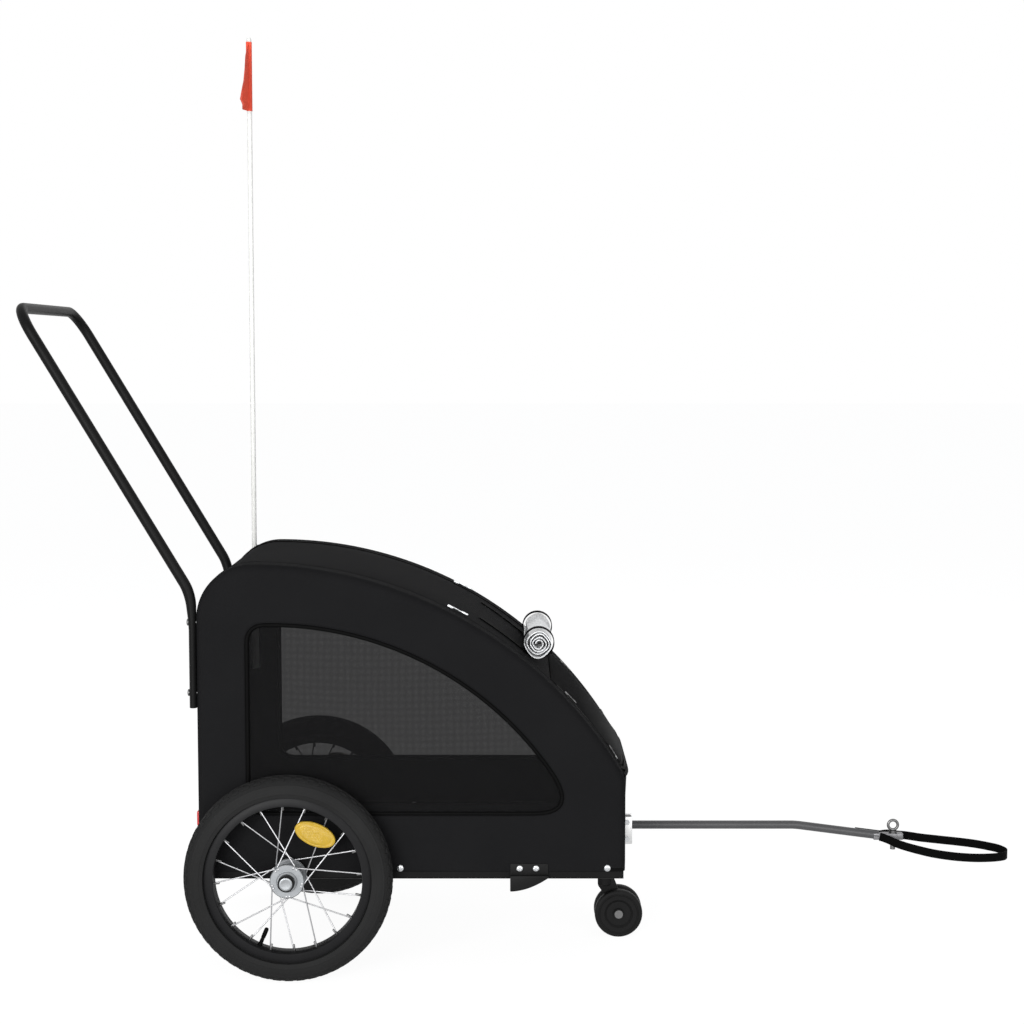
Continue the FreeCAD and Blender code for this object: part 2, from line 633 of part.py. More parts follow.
sleeve_out = "axle_radius + running_gap + sleeve_wall"
sleeve_y = hub_root + " - seat_gap - sleeve_length"
sleeve_rod = rod("sleeve_outer", sleeve_out, "sleeve_length", "0", sleeve_y, "wheel_radius")
axle_bore = rod("sleeve_bore", "axle_radius + running_gap", "sleeve_length", "0", sleeve_y, "wheel_radius")
pair("axle_sleeve", cut("left_axle_sleeve", sleeve_rod, axle_bore))

# Base: two rails along the sides, cross rails and the axle beam between them.
rail_in = "frame_half - rail_size"


def screw(name, x, y, z):
    """A round headed screw driven inwards from the left side."""
    head = rod(name + "_head", "screw_head", "screw_head_height", x, y, z)
    shank = rod(name + "_shank", "screw_shank", "screw_length", x, y + " - screw_length", z)
    return fuse(name, head, shank)


screw_z = "rail_top - screw_drop"
side_screws = [screw("rail_screw_%d" % i, x, "body_width / 2", screw_z)
               for i, x in enumerate(["0 - screw_rear", "screw_mid", "body_front - screw_set"])]
side_screws += [screw("bracket_screw_%d" % i, "bracket_back + " + x, "body_width / 2 + bracket_thick", screw_z)
                for i, x in enumerate(["bracket_screw_rear", "bracket_screw_front"])]
left_screws = group("left_screws", *side_screws)
piece("body_screws", group("body_screws", left_screws, mirrored("right_screws", left_screws)))

rail_bar = box("rail_bar", "0 - body_rear", rail_in, "rail_low",
               "rail_front + body_rear", "rail_size", "rail_size")
doc.recompute()
rounded = doc.addObject("Part::Fillet", "rail_rounded")
rounded.Base = rail_bar
rounded.Edges = [(i, mm("rail_round"), mm("rail_round")) for i, edge in enumerate(rail_bar.Shape.Edges, start=1)
                 if edge.BoundBox.XLength > mm("rail_size") + SAME]
bored = cut("rail_bored", rounded, rod("rail_hole", sleeve_out, "rail_size", "0", rail_in, "wheel_radius"))
pair("base_rail", cut("left_base_rail", bored, left_screws))


def cross_bar(name, x):
    return box(name, x, "0 - (%s)" % rail_in, "rail_low", "rail_size", "2 * (%s)" % rail_in, "rail_size")


piece("base_cross_rails", group("base_cross_rails", cross_bar("rear_cross_rail", "0 - body_rear"),
                                cross_bar("front_cross_rail", "rail_front - rail_size")))
beam_hole = rod("beam_hole", sleeve_out, "%s - (%s)" % (rail_in, sleeve_y), "0", sleeve_y, "wheel_radius")
beam = cut("beam_bored", cross_bar("beam_bar", "0 - rail_size / 2"),
           group("beam_holes", beam_hole, mirrored("beam_hole_right", beam_hole)))
piece("axle_beam", beam)

board_y = "hoop_y - hoop_radius - board_margin"
board_x = "board_margin - body_rear"
board_long = "rail_front + body_rear - 2 * board_margin"
piece("floor_board", box("floor_board", board_x, "0 - (%s)" % board_y, "rail_top", board_long,
                         "2 * (%s)" % board_y, "board_thickness"))
mat_bar = box("mat_bar", board_x + " + mat_margin", "mat_margin - (%s)" % board_y, "rail_top + board_thickness",
              board_long + " - 2 * mat_margin", "2 * (%s - mat_margin)" % board_y, "mat_thickness")
doc.recompute()
mat = doc.addObject("Part::Fillet", "floor_mat")
mat.Base = mat_bar
mat.Edges = [(i, mm("mat_round"), mm("mat_round")) for i, edge in enumerate(mat_bar.Shape.Edges, start=1)
             if edge.BoundBox.ZMin > mat_bar.Shape.BoundBox.ZMax - SAME]
piece("floor_mat", mat)

# Handle bolts run through the legs, the rear wall and the frame's rear uprights.


def handle_bolt(name, z):
    tail = "0 - leg_back - handle_radius"
    grip = "leg_back + handle_radius - body_rear + fabric + 2 * hoop_radius"
    shank = rod(name + "_shank", "bolt_radius", grip, tail, "hoop_y", z, "X")
    head = rod(name + "_head", "bolt_head", "bolt_head_height", tail + " - bolt_head_height", "hoop_y", z, "X")
    nut = doc.addObject("Part::Prism", name + "_nut")
    bind(nut, Circumradius="bolt_head", Height="bolt_head_height")
    place(nut, tail + " + " + grip, "hoop_y", z, TURNS["X"])
    return fuse(name, shank, head, nut)


left_bolts = group("left_bolts", handle_bolt("low_bolt", "bolt_low"), handle_bolt("high_bolt", "bolt_high"))
all_bolts = group("handle_bolts", left_bolts, mirrored("right_bolts", left_bolts))
piece("handle_bolts", all_bolts)

# Frame tubes: a side hoop each side, following the cabin's outline, and three cross tubes.
tube_inset = mm("fabric") + mm("hoop_radius")
hoop_path = cover_line(tube_inset, mm("rail_top"), mm("hoop_y"))
sill_point = hoop_path[-1].Vertexes[1].Point
front_foot = Vector(sill_point.x, sill_point.y, mm("rail_top"))
hoop_path.append(line(sill_point, front_foot))
hoop_foot = hoop_path[0].Vertexes[0].Point
hoop = tube("hoop_tube", Part.Wire(hoop_path), "hoop_radius", hoop_foot, Vector(0, 0, 1))
hoop.Transition = "Round corner"
pair("side_hoop", cut("left_side_hoop", hoop, left_bolts))

corner_reach = mm("corner_radius") - tube_inset
tube_angle = door_angle - mm("roof_tube_setback") / mm("roof_radius")
tube_places = [at(roof_x - corner_reach * math.cos(CORNER_TUBE),
                  mm("body_top") - mm("corner_radius") + corner_reach * math.sin(CORNER_TUBE)),
               roof_at(tube_angle, mm("roof_radius") - tube_inset),
               Vector(sill_point.x, 0, sill_point.z - mm("hoop_radius"))]
cross_tubes = []
for number, middle in enumerate(tube_places):
    cross = doc.addObject("Part::Cylinder", "cross_tube_%d" % number)
    bind(cross, Radius="hoop_radius", Height="2 * hoop_y")
    cross.Placement = Placement(middle - Vector(0, mm("hoop_y"), 0), TURNS["Y"])
    cross_tubes.append(cross)
hoops = group("both_hoops", hoop, mirrored("right_hoop_tube", hoop))
piece("hoop_cross_tubes", cut("hoop_cross_tubes", group("cross_tube_set", *cross_tubes), hoops))

# Push handle: one bent tube from leg to leg.
handle_y = mm("hoop_y")
handle_points = [at(leg_x, mm("handle_foot"), handle_y), at(leg_x, mm("handle_bend"), handle_y),
                 at(push_bar_x, mm("handle_top"), handle_y), at(push_bar_x, mm("handle_top"), -handle_y),
                 at(leg_x, mm("handle_bend"), -handle_y), at(leg_x, mm("handle_foot"), -handle_y)]
handle_radii = [mm("leg_bend"), mm("handle_corner"), mm("handle_corner"), mm("leg_bend")]
handle_path = bent_path(handle_points, handle_radii)
handle = tube("handle_tube", handle_path, "handle_radius", handle_points[0], Vector(0, 0, 1))
piece("push_handle", cut("push_handle", handle, all_bolts))

# Cabin cover: flat sides with a window each, and one strip over the rear, roof and front edges.
hem = mm("rail_top") - mm("hem_drop")
side_edges = cover_line(0, hem, mm("frame_half"))
front_top = side_edges[-1].Vertexes[1].Point
front_low = at(mm("body_front"), hem, mm("frame_half"))
side_edges += [line(front_top, front_low), line(front_low, at(-mm("body_rear"), hem, mm("frame_half")))]
side_face = solid("side_outline", Part.Face(Part.Wire(side_edges)))
side_sheet = doc.addObject("Part::Extrusion", "side_sheet")
side_sheet.Base = side_face
side_sheet.DirMode = "Custom"
side_sheet.Dir = Vector(0, 1, 0)
side_sheet.Solid = True
bind(side_sheet, LengthFwd="fabric")


def window_block(depth, y):
    """The window's outline: straight rear edge and sill under a long arc, with rounded corners."""
    left = -mm("window_left")
    arc_x = -mm("window_arc_back")
    arc_z = mm("window_top") - mm("window_arc")
    radius = mm("window_arc")

    def on_arc(angle):
        return at(arc_x + radius * math.sin(angle), arc_z + radius * math.cos(angle), y)
    start = math.asin((left - arc_x) / radius)
    end = math.acos((mm("window_sill") - arc_z) / radius)
    corner = at(left, mm("window_sill"), y)
    edges = [line(corner, on_arc(start)), arc(on_arc(start), on_arc((start + end) / 2), on_arc(end)),
             line(on_arc(end), corner)]
    block = Part.Face(Part.Wire(edges)).extrude(Vector(0, depth, 0))
    upright = [edge for edge in block.Edges if abs(edge.BoundBox.YLength - depth) < SAME]
    return block.makeFillet(mm("window_round"), upright)


window = solid("window_space", window_block(mm("fabric"), mm("frame_half")))
hem_hole = rod("hem_hole", sleeve_out + " + seat_gap", "fabric", "0", "frame_half", "wheel_radius")
side_open = cut("side_open", side_sheet, group("side_holes", window, hem_hole))
pair("side_panel", cut("left_side_panel", side_open, left_screws))
mesh_y = mm("frame_half") + (mm("fabric") - mm("mesh")) / 2
pair("window_mesh", solid("left_window_mesh", window_block(mm("mesh"), mesh_y)))


def cover_strip():
    """Rear wall and roof in one strip, with the door's opening at the front."""
    foot = mm("rail_top")
    outer = cover_line(0, foot, -mm("frame_half"))
    inner = cover_line(mm("fabric"), foot, -mm("frame_half"))
    end_in = roof_at(sill_angle, mm("roof_radius") - mm("fabric"), -mm("frame_half"))
    inner_roof = arc(inner[1].Vertexes[1].Point,
                     roof_at(sill_angle / 2, mm("roof_radius") - mm("fabric"), -mm("frame_half")), end_in)
    edges = outer + [line(outer[-1].Vertexes[1].Point, end_in), inner_roof, inner[1], inner[0],
                     line(outer[0].Vertexes[0].Point, inner[0].Vertexes[0].Point)]
    face = Part.Face(Part.Wire(Part.__sortEdges__(edges)))
    strip = face.extrude(Vector(0, 2 * mm("frame_half"), 0))
    way = mm("hoop_radius") * 2
    past_sill = sill_angle + way / mm("roof_radius")
    opening = sector(mm("roof_radius") - way, mm("roof_radius") + way, door_angle, past_sill,
                     -mm("door_width") / 2, mm("door_width") / 2)
    return strip.cut(opening)


pole_hole = rod("pole_hole", "pole_radius + seat_gap", "corner_radius", "0 - pole_back", "pole_y",
                "body_top - corner_radius", "Z")
roof_strip = cut("roof_strip_bolted", solid("roof_strip", cover_strip()), all_bolts)
piece("roof_cover", cut("roof_cover", roof_strip, pole_hole))

door_slack = mm("seat_gap") / mm("roof_radius")
door_half = mm("door_width") / 2 - mm("seat_gap")
piece("front_door", solid("front_door", sector(
    mm("roof_radius") - mm("fabric"), mm("roof_radius"), door_angle + door_slack, sill_angle - door_slack,
    -door_half, door_half)))

front_wall = box("front_wall", "body_front - fabric", "0 - frame_half", "rail_top - hem_drop", "fabric",
                 "2 * frame_half", "roof_z + sill_rise - fabric - rail_top + hem_drop")
clevis_hole = box("clevis_hole", "rail_front", "0 - clevis_flange / 2 - seat_gap", "clevis_low - seat_gap",
                  "clevis_depth", "clevis_flange + 2 * seat_gap", "clevis_high - clevis_low + 2 * seat_gap")
piece("front_panel", cut("front_panel", front_wall, clevis_hole))

# Rain cover, rolled up above the door and held by two elastic straps.
roll_lift = mm("roof_radius") + 2 * mm("seat_gap") + mm("strap_thick") + mm("roll_radius")
roll_middle = roof_at(roll_angle, roll_lift)


def rolled_sheet():
    """A spiral of half turns about two centres, the sheet's thickness apart from itself."""
    step = mm("roll_pitch") / 2
    first = mm("roll_radius") - ROLL_HALF_TURNS * step
    half_length = mm("roll_length") / 2

    def half_turn(number, radius_change):
        radius = first + step * number + radius_change
        side = 1 if number % 2 == 0 else -1
        middle = roll_middle + Vector(side * step / 2, -half_length, 0)
        return [middle + Vector(-side * radius, 0, 0), middle + Vector(0, 0, side * radius),
                middle + Vector(side * radius, 0, 0)]
    outside = [half_turn(i, step / 2) for i in range(ROLL_HALF_TURNS)]
    inside = [half_turn(i, step / 2 - mm("roll_sheet")) for i in range(ROLL_HALF_TURNS)]
    edges = []
    for run in (outside, inside):
        for a, b, c in run:
            edges.append(arc(a, b, c))
    edges.append(line(outside[0][0], inside[0][0]))
    edges.append(line(outside[-1][2], inside[-1][2]))
    face = Part.Face(Part.Wire(Part.__sortEdges__(edges)))
    return face.extrude(Vector(0, 2 * half_length, 0))


piece("rain_cover_roll", solid("rain_cover_roll", rolled_sheet()))


def cover_strap(middle_y):
    """A band sewn to the roof above the roll and looped round it."""
    low = middle_y - mm("strap_width") / 2
    start = roll_middle + Vector(0, low, 0)
    along = Vector(0, 1, 0)
    inner = mm("roll_radius") + mm("seat_gap")
    band = Part.makeCylinder(inner + mm("strap_thick"), mm("strap_width"), start, along)
    band = band.cut(Part.makeCylinder(inner, mm("strap_width"), start, along))
    lay = mm("roof_radius") + mm("seat_gap")
    tail_angle = roll_angle - mm("strap_reach") / mm("roof_radius")
    tail = sector(lay, lay + mm("strap_thick"), tail_angle, roll_angle, low, low + mm("strap_width"))
    return band.fuse(tail).removeSplitter()


straps = [cover_strap(side * mm("strap_spread") / 2) for side in (-1, 1)]
piece("cover_straps", solid("cover_straps", Part.makeCompound(straps)))

# Side brackets under the hem: a screwed plate with a curved lip.


def bracket_lip():
    y = half_width
    rear = mm("bracket_back")
    front = rear + mm("bracket_length")
    top = mm("rail_low") + mm("bracket_rise")
    low = mm("rail_low") - mm("bracket_lip")
    outer = arc(at(rear, low, y), at(rear + mm("lip_crest"), low + mm("lip_crest_rise"), y), at(front, top, y))
    edges = [outer, line(at(front, top, y), at(rear, top, y)), line(at(rear, top, y), at(rear, low, y))]
    return Part.Face(Part.Wire(edges)).extrude(Vector(0, mm("lip_depth"), 0))


plate = box("bracket_plate", "bracket_back", "body_width / 2", "rail_low + bracket_rise", "bracket_length",
            "bracket_thick", "rail_size")
bracket = fuse("bracket_whole", plate, solid("bracket_lip", bracket_lip()))
pair("side_bracket", cut("left_side_bracket", bracket, left_screws))

# Red reflectors on the rear wall.
red_bar = box("red_bar", "0 - body_rear - reflector_thick", "reflector_spread / 2 - reflector_width / 2",
              "reflector_low", "reflector_thick", "reflector_width", "reflector_height")
doc.recompute()
red = doc.addObject("Part::Fillet", "red_rounded")
red.Base = red_bar
red_round = mm("reflector_thick") / 2
red.Edges = [(i, red_round, red_round) for i, edge in enumerate(red_bar.Shape.Edges, start=1)
             if edge.BoundBox.XMax < red_bar.Shape.BoundBox.XMin + SAME]
piece("rear_reflectors", group("rear_reflectors", red, mirrored("red_right", red)))

# Flag: a pole through the roof into a pocket inside the left wall, with a folded pennant at its top.
pole_x = "0 - pole_back"
sleeve_bore = "pole_radius + running_gap"
pocket_outer = rod("pocket_outer", sleeve_bore + " + pole_sleeve_wall", "pole_sleeve + pole_sleeve_wall",
                   pole_x, "pole_y", "pole_foot - pole_sleeve_wall", "Z")
pocket_bore = rod("pocket_bore", sleeve_bore, "pole_sleeve", pole_x, "pole_y", "pole_foot", "Z")
tab_y = "pole_y + %s + pole_sleeve_wall / 2" % sleeve_bore
pocket_tab = box("pocket_tab", pole_x + " - pole_sleeve_wall / 2", tab_y, "pole_foot - pole_sleeve_wall",
                 "pole_sleeve_wall", "frame_half - (%s)" % tab_y, "pole_sleeve + pole_sleeve_wall")
piece("flag_sleeve", cut("flag_sleeve", fuse("pocket_whole", pocket_outer, pocket_tab), pocket_bore))
piece("flag_pole", rod("flag_pole", "pole_radius", "pole_top - pole_foot", pole_x, "pole_y", "pole_foot", "Z"))


def pennant():
    """A three-cornered flag that hangs in one long fold towards the cabin's middle."""
    x = -mm("pole_back")
    root = mm("pole_y") - mm("pole_radius")
    fold = mm("flag_fold")
    low = mm("pole_top") - mm("flag_height")
    quarter = mm("flag_reach") / 4
    sides = []
    for shift in (-mm("flag_thick") / 2, mm("flag_thick") / 2):
        bends = [at(x + shift + sway, low, root - quarter * i) for i, sway in enumerate([0, -fold, 0, fold, 0])]
        sides.append([arc(*bends[:3]), arc(*bends[2:]), bends[0], bends[4]])
    edges = sides[0][:2] + sides[1][:2] + [line(sides[0][2], sides[1][2]), line(sides[0][3], sides[1][3])]
    cloth = Part.Face(Part.Wire(Part.__sortEdges__(edges))).extrude(Vector(0, 0, mm("flag_height")))
    clear = x - mm("flag_reach")
    tip = root - mm("flag_reach")
    tip_low = low + (mm("flag_height") - mm("flag_tip")) / 2
    corners = [at(clear, low, root), at(clear, mm("pole_top"), root),
               at(clear, tip_low + mm("flag_tip"), tip), at(clear, tip_low, tip)]
    outline = Part.Face(Part.makePolygon(corners + corners[:1]))
    return cloth.common(outline.extrude(Vector(2 * mm("flag_reach"), 0, 0)))


piece("flag", solid("flag", pennant()))

# Tow bar: a two-cheeked bracket on the front rail, a bent bar, a tongue, a pin and a strap.
clevis_back = box("clevis_back", "rail_front", "0 - clevis_flange / 2", "clevis_low",
                  "clevis_plate", "clevis_flange", "clevis_high - clevis_low")
cheek = box("clevis_cheek", "rail_front + clevis_plate", "clevis_width / 2 - clevis_plate", "clevis_low",
            "clevis_depth - clevis_plate", "clevis_plate", "clevis_high - clevis_low")
tow_bolts = []
for number, level in enumerate(["clevis_low + tow_bolt_inset", "clevis_high - tow_bolt_inset"]):
    across = "clevis_width + 2 * screw_head_height"
    middle = "rail_front + clevis_depth - tow_bolt_inset"
    shank = rod("tow_shank_%d" % number, "screw_shank", across, middle, "0 - (%s) / 2" % across, level)
    heads = [rod("tow_head_%d_%d" % (number, i), "screw_head", "screw_head_height", middle, y, level)
             for i, y in enumerate(["clevis_width / 2", "0 - clevis_width / 2 - screw_head_height"])]
    tow_bolts.append(fuse("tow_bolt_%d" % number, shank, *heads))
tow_bolt_set = piece("tow_bolts", group("tow_bolts", *tow_bolts))
clevis = fuse("clevis_whole", clevis_back, cheek, mirrored("clevis_cheek_right", cheek))
piece("tow_bracket", cut("tow_bracket", clevis, tow_bolt_set))

bar_root = mm("rail_front") + mm("clevis_plate")
bar_points = [at(bar_root, mm("bar_height")), at(mm("bar_bend"), mm("bar_height")),
              at(mm("bar_end"), mm("bar_height") - mm("bar_drop"))]
bar_path = bent_path(bar_points, [mm("bar_bend_radius")])
bar = tube("bar_tube", bar_path, "bar_radius", bar_points[0], Vector(1, 0, 0))
cheek_gap = "clevis_width - 2 * clevis_plate"
root_plate = box("bar_root", "rail_front + clevis_plate", "0 - (%s) / 2" % cheek_gap, "clevis_low",
                 "clevis_depth - clevis_plate", cheek_gap, "clevis_high - clevis_low")
piece("tow_bar", cut("tow_bar", fuse("bar_whole", bar, root_plate), tow_bolt_set))

tongue_bar = box("tongue_bar", "tongue_start", "0 - bar_radius", "tongue_mid - tongue_height / 2", "tongue_length",
                 "2 * bar_radius", "tongue_height")
pin_hole = rod("pin_hole", "pin_shoulder + running_gap", "tongue_height", "pin_place", "0",
               "tongue_mid - tongue_height / 2", "Z")
piece("hitch_tongue", cut("hitch_tongue", cut("tongue_bored", tongue_bar, pin_hole), bar))

pin_low = "tongue_top - tongue_height"
pin_shank = rod("pin_shank", "pin_shoulder", "tongue_height", "pin_place", "0", pin_low, "Z")
pin_tail = rod("pin_tail", "pin_radius", "pin_free", "pin_place", "0", pin_low + " - pin_free", "Z")
collar = rod("pin_ring", "pin_collar", "pin_collar_height", "pin_place", "0", "tongue_top", "Z")
eye = doc.addObject("Part::Torus", "pin_eye")
bind(eye, Radius1="eye_radius", Radius2="eye_wire")
place(eye, "pin_place", "0", "tongue_top + pin_collar_height + eye_radius + eye_wire - eye_sink", TURNS["Y"])
piece("hitch_pin", fuse("hitch_pin", pin_shank, pin_tail, collar, eye))


def spline(points):
    """A smooth edge through points."""
    curve = Part.BSplineCurve()
    curve.interpolate(points)
    return curve.toShape()


def safety_strap():
    """Webbing on edge: an open loop in plan, cut to a band that sags in the side view."""
    side = mm("bar_radius") + mm("seat_gap") + mm("web_thick") / 2
    length = mm("web_tip") - mm("web_near")
    fall = mm("web_near_height") - mm("web_tip_height")
    spread = [at(mm("web_near") + t * length, 0, out * mm("web_half")) for t, out, drop in LOOP_SHAPE]
    lead = at(mm("web_near") + mm("web_lead"), 0, side + mm("web_thick") / 2)
    middle = spline([at(mm("web_near"), 0, side), lead] + spread + [at(mm("web_tip") - mm("web_thick") / 2, 0, 0)])
    steps = middle.discretize(LOOP_STEPS)
    straight = mm("web_near") - mm("web_far")
    far = [at(mm("web_far") + straight * i / LEAD_STEPS, 0, side) for i in range(LEAD_STEPS)] + steps
    near = [Vector(p.x, -p.y, p.z) for p in steps[-2::-1]]
    walls = [[], []]
    whole = far + near
    for i, point in enumerate(whole):
        along = whole[min(i + 1, len(whole) - 1)] - whole[max(i - 1, 0)]
        across = Vector(-along.y, along.x, 0).normalize() * (mm("web_thick") / 2)
        walls[0].append(point + across)
        walls[1].append(point - across)
    edges = [spline(walls[0]), line(walls[0][-1], walls[1][-1]), spline(walls[1]), line(walls[1][0], walls[0][0])]
    ribbon = Part.Face(Part.Wire(Part.__sortEdges__(edges))).extrude(Vector(0, 0, mm("bar_height")))
    slope = mm("bar_drop") / (mm("bar_end") - mm("bar_bend"))
    reach = 2 * mm("web_half")
    back = mm("web_far") - side
    heights = [(back, mm("web_near_height") + slope * (mm("web_near") - back)), (mm("web_near"), mm("web_near_height"))]
    heights += [(mm("web_near") + t * length, mm("web_near_height") - drop * fall) for t, out, drop in LOOP_SHAPE]
    heights.append((mm("web_tip") + side, mm("web_tip_height")))
    low, high = [[at(x, z + lift, -reach) for x, z in heights] for lift in (-mm("web_width") / 2, mm("web_width") / 2)]
    edges = [spline(low), line(low[-1], high[-1]), spline(high), line(high[0], low[0])]
    band = Part.Face(Part.Wire(Part.__sortEdges__(edges))).extrude(Vector(0, 2 * reach, 0))
    return ribbon.common(band)


piece("safety_strap", solid("safety_strap", safety_strap()))

# Caster: a stem in a socket under the front rail, a slim body and a wheel each side.
socket_plate = box("socket_plate_bar", "caster_place - socket_plate / 2", "0 - socket_plate / 2",
                   "rail_low - socket_plate_thick", "socket_plate", "socket_plate", "socket_plate_thick")
socket_tube = rod("socket_tube", "socket_radius", "rail_low - socket_low", "caster_place", "0", "socket_low", "Z")
socket_bore = rod("socket_bore", "stem_radius + running_gap", "stem_top + stem_play - socket_low",
                  "caster_place", "0", "socket_low", "Z")
piece("caster_socket", cut("caster_socket", fuse("socket_whole", socket_plate, socket_tube), socket_bore))

pivot_x = "caster_place + caster_lead"
web = slab("caster_web_plate", [
    (pivot_x + " - caster_cheek", "caster_radius - caster_cheek"),
    (pivot_x + " + caster_cheek", "caster_radius - caster_cheek"),
    (pivot_x + " + caster_cheek", "caster_radius + neck_front"),
    ("caster_place + stem_boss", "boss_high"),
    ("caster_place - stem_boss", "boss_high"),
    ("caster_place - stem_boss", "boss_low"),
    (pivot_x + " - caster_cheek", "caster_radius + neck_rear")], "caster_web")
boss = rod("stem_boss_rod", "stem_boss", "boss_high - boss_low", "caster_place", "0", "boss_low", "Z")
stem_hole = rod("stem_hole", "stem_radius", "boss_high - boss_low", "caster_place", "0", "boss_low", "Z")
axle_hole = rod("caster_pin_hole", "caster_pin", "caster_web", pivot_x, "0 - caster_web / 2", "caster_radius")
caster_holes = group("caster_holes", stem_hole, axle_hole)
piece("caster_body", cut("caster_body", fuse("caster_body_whole", web, boss), caster_holes))
piece("caster_stem", rod("caster_stem", "stem_radius", "stem_top - boss_low", "caster_place", "0", "boss_low", "Z"))

wheel_in = "caster_web / 2 + caster_side_gap"
wheel_out = wheel_in + " + caster_wide"
caster_bore = "caster_pin + running_gap"
pair("caster_wheel", lathe("left_caster_wheel", [
    (caster_bore, wheel_in), ("caster_radius - caster_edge", wheel_in),
    ("caster_radius", wheel_in + " + caster_edge_wide"), ("caster_radius", wheel_out + " - caster_edge_wide"),
    ("caster_radius - caster_edge", wheel_out), ("dish_rim", wheel_out),
    ("dish_floor", wheel_out + " - dish_depth"), ("caster_hub", wheel_out + " - dish_depth"),
    ("caster_hub", wheel_out), (caster_bore, wheel_out)], pivot_x, "caster_radius"))
rivet_y = wheel_out + " + seat_gap"
rivet_end = rivet_y + " + caster_rivet_height"
pin_half = lathe("caster_axle_half", [
    ("0", "0"), ("caster_pin", "0"), ("caster_pin", rivet_y), ("caster_rivet", rivet_y),
    ("caster_rivet", rivet_end), ("0", rivet_end)], pivot_x, "caster_radius")
piece("caster_axle", fuse("caster_axle", pin_half, mirrored("caster_axle_other", pin_half)))

doc.recompute()
for item in doc.Objects:
    if "Invalid" in item.State or "Error" in item.State:
        raise RuntimeError("%s did not build: %s" % (item.Label, item.State))
for item in PIECES:
    if item.Shape.isNull() or not item.Shape.isValid() or not item.Shape.Solids:
        raise RuntimeError("%s has no sound solid" % item.Label)

os.makedirs("parts", exist_ok=True)
for item in PIECES:
    item.Shape.exportStep(os.path.join("parts", item.Label + ".step"))
    print("%-22s %2d solids %10.1f mm3" % (item.Label, len(item.Shape.Solids), item.Shape.Volume))
print(len(PIECES), "sub-parts")
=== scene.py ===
# %% [markdown]
# # A dog bike trailer, dressed
#
# The solids of this trailer come from CAD: rails, tubes, wheels, a tow bar. What CAD leaves plain is
# made here: cloth that bends round its corners, mesh windows, piping, stitches, rubber and plating.
# Every piece is built in the CAD model's own frame, in metres, and rides on the CAD body it belongs to.

# %% Load the CAD frame
import math

import bmesh
import bpy
import numpy as np
from mathutils import Matrix, Vector


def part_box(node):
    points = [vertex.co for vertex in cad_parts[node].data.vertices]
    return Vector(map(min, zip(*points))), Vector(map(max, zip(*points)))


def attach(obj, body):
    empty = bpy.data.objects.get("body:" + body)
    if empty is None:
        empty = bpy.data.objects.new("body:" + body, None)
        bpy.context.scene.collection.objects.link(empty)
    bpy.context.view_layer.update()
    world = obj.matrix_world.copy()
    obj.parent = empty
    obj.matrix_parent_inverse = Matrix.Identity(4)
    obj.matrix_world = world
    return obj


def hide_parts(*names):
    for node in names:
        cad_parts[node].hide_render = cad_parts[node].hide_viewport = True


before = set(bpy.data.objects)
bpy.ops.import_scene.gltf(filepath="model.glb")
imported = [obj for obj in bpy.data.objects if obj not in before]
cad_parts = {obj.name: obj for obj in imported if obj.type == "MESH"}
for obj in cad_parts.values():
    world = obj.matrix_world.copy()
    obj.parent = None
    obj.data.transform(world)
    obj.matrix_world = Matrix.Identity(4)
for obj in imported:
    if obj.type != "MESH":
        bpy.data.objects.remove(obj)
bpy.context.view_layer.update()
scene = bpy.context.scene
scene.view_settings.view_transform = "Standard"
SIDES = {"left": 1, "right": -1}
tyre_low, tyre_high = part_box("left_tyre")
AXLE_X = 500 * (tyre_low.x + tyre_high.x)
print("axle at", round(AXLE_X, 2), "mm")

# %% [markdown]
# ## Measuring from the axle
#
# A maker measures a trailer from its axle, its centre line and the ground, in millimetres. One helper
# turns such a measure into a point of the frame, so the rest of the script can speak in those terms. The
# other helpers turn lists of points and faces into objects of the scene, with their shading and finish.


# %% Points and new objects
def spot(x, y, z):
    """A point of the frame: millimetres ahead of the axle, left of the middle, above the ground."""
    return Vector(((AXLE_X + x) / 1000, y / 1000, z / 1000))


def new_object(name, mesh):
    """Put a mesh into the scene, at the origin and unturned."""
    obj = bpy.data.objects.new(name, mesh)
    scene.collection.objects.link(obj)
    return obj


def shaded(mesh, finish, sharp):
    """Smooth shading up to an angle in degrees, and one finish."""
    mesh.shade_smooth()
    mesh.set_sharp_from_angle(angle=math.radians(sharp))
    mesh.materials.append(finish)
    return mesh


def mesh_from(name, work):
    """Turn what was built in bmesh into a plain mesh."""
    mesh = bpy.data.meshes.new(name)
    work.to_mesh(mesh)
    work.free()
    return mesh


def mesh_piece(name, points, faces, finish, uvs=None, sharp=40, merge=True):
    """A new object from points and faces, with doubles merged and its normals turned outwards."""
    mesh = bpy.data.meshes.new(name)
    mesh.from_pydata([tuple(p) for p in points], [], faces)
    if uvs is not None:
        layer = mesh.uv_layers.new(name="UVMap")
        for loop in mesh.loops:
            layer.data[loop.index].uv = uvs[loop.vertex_index]
    if merge:
        work = bmesh.new()
        work.from_mesh(mesh)
        bmesh.ops.remove_doubles(work, verts=work.verts, dist=1e-6)
        bmesh.ops.recalc_face_normals(work, faces=work.faces)
        work.to_mesh(mesh)
        work.free()
    return new_object(name, shaded(mesh, finish, sharp))


def grid_faces(rows, columns, round_columns=False):
    """Quads of a grid of points, stored row by row. The last column may join the first."""
    last = columns if round_columns else columns - 1
    return [(r * columns + c, r * columns + (c + 1) % columns, (r + 1) * columns + (c + 1) % columns,
             (r + 1) * columns + c) for r in range(rows - 1) for c in range(last)]


print("100 mm ahead of the axle, on the ground:", [round(v, 4) for v in spot(100, 0, 0)])

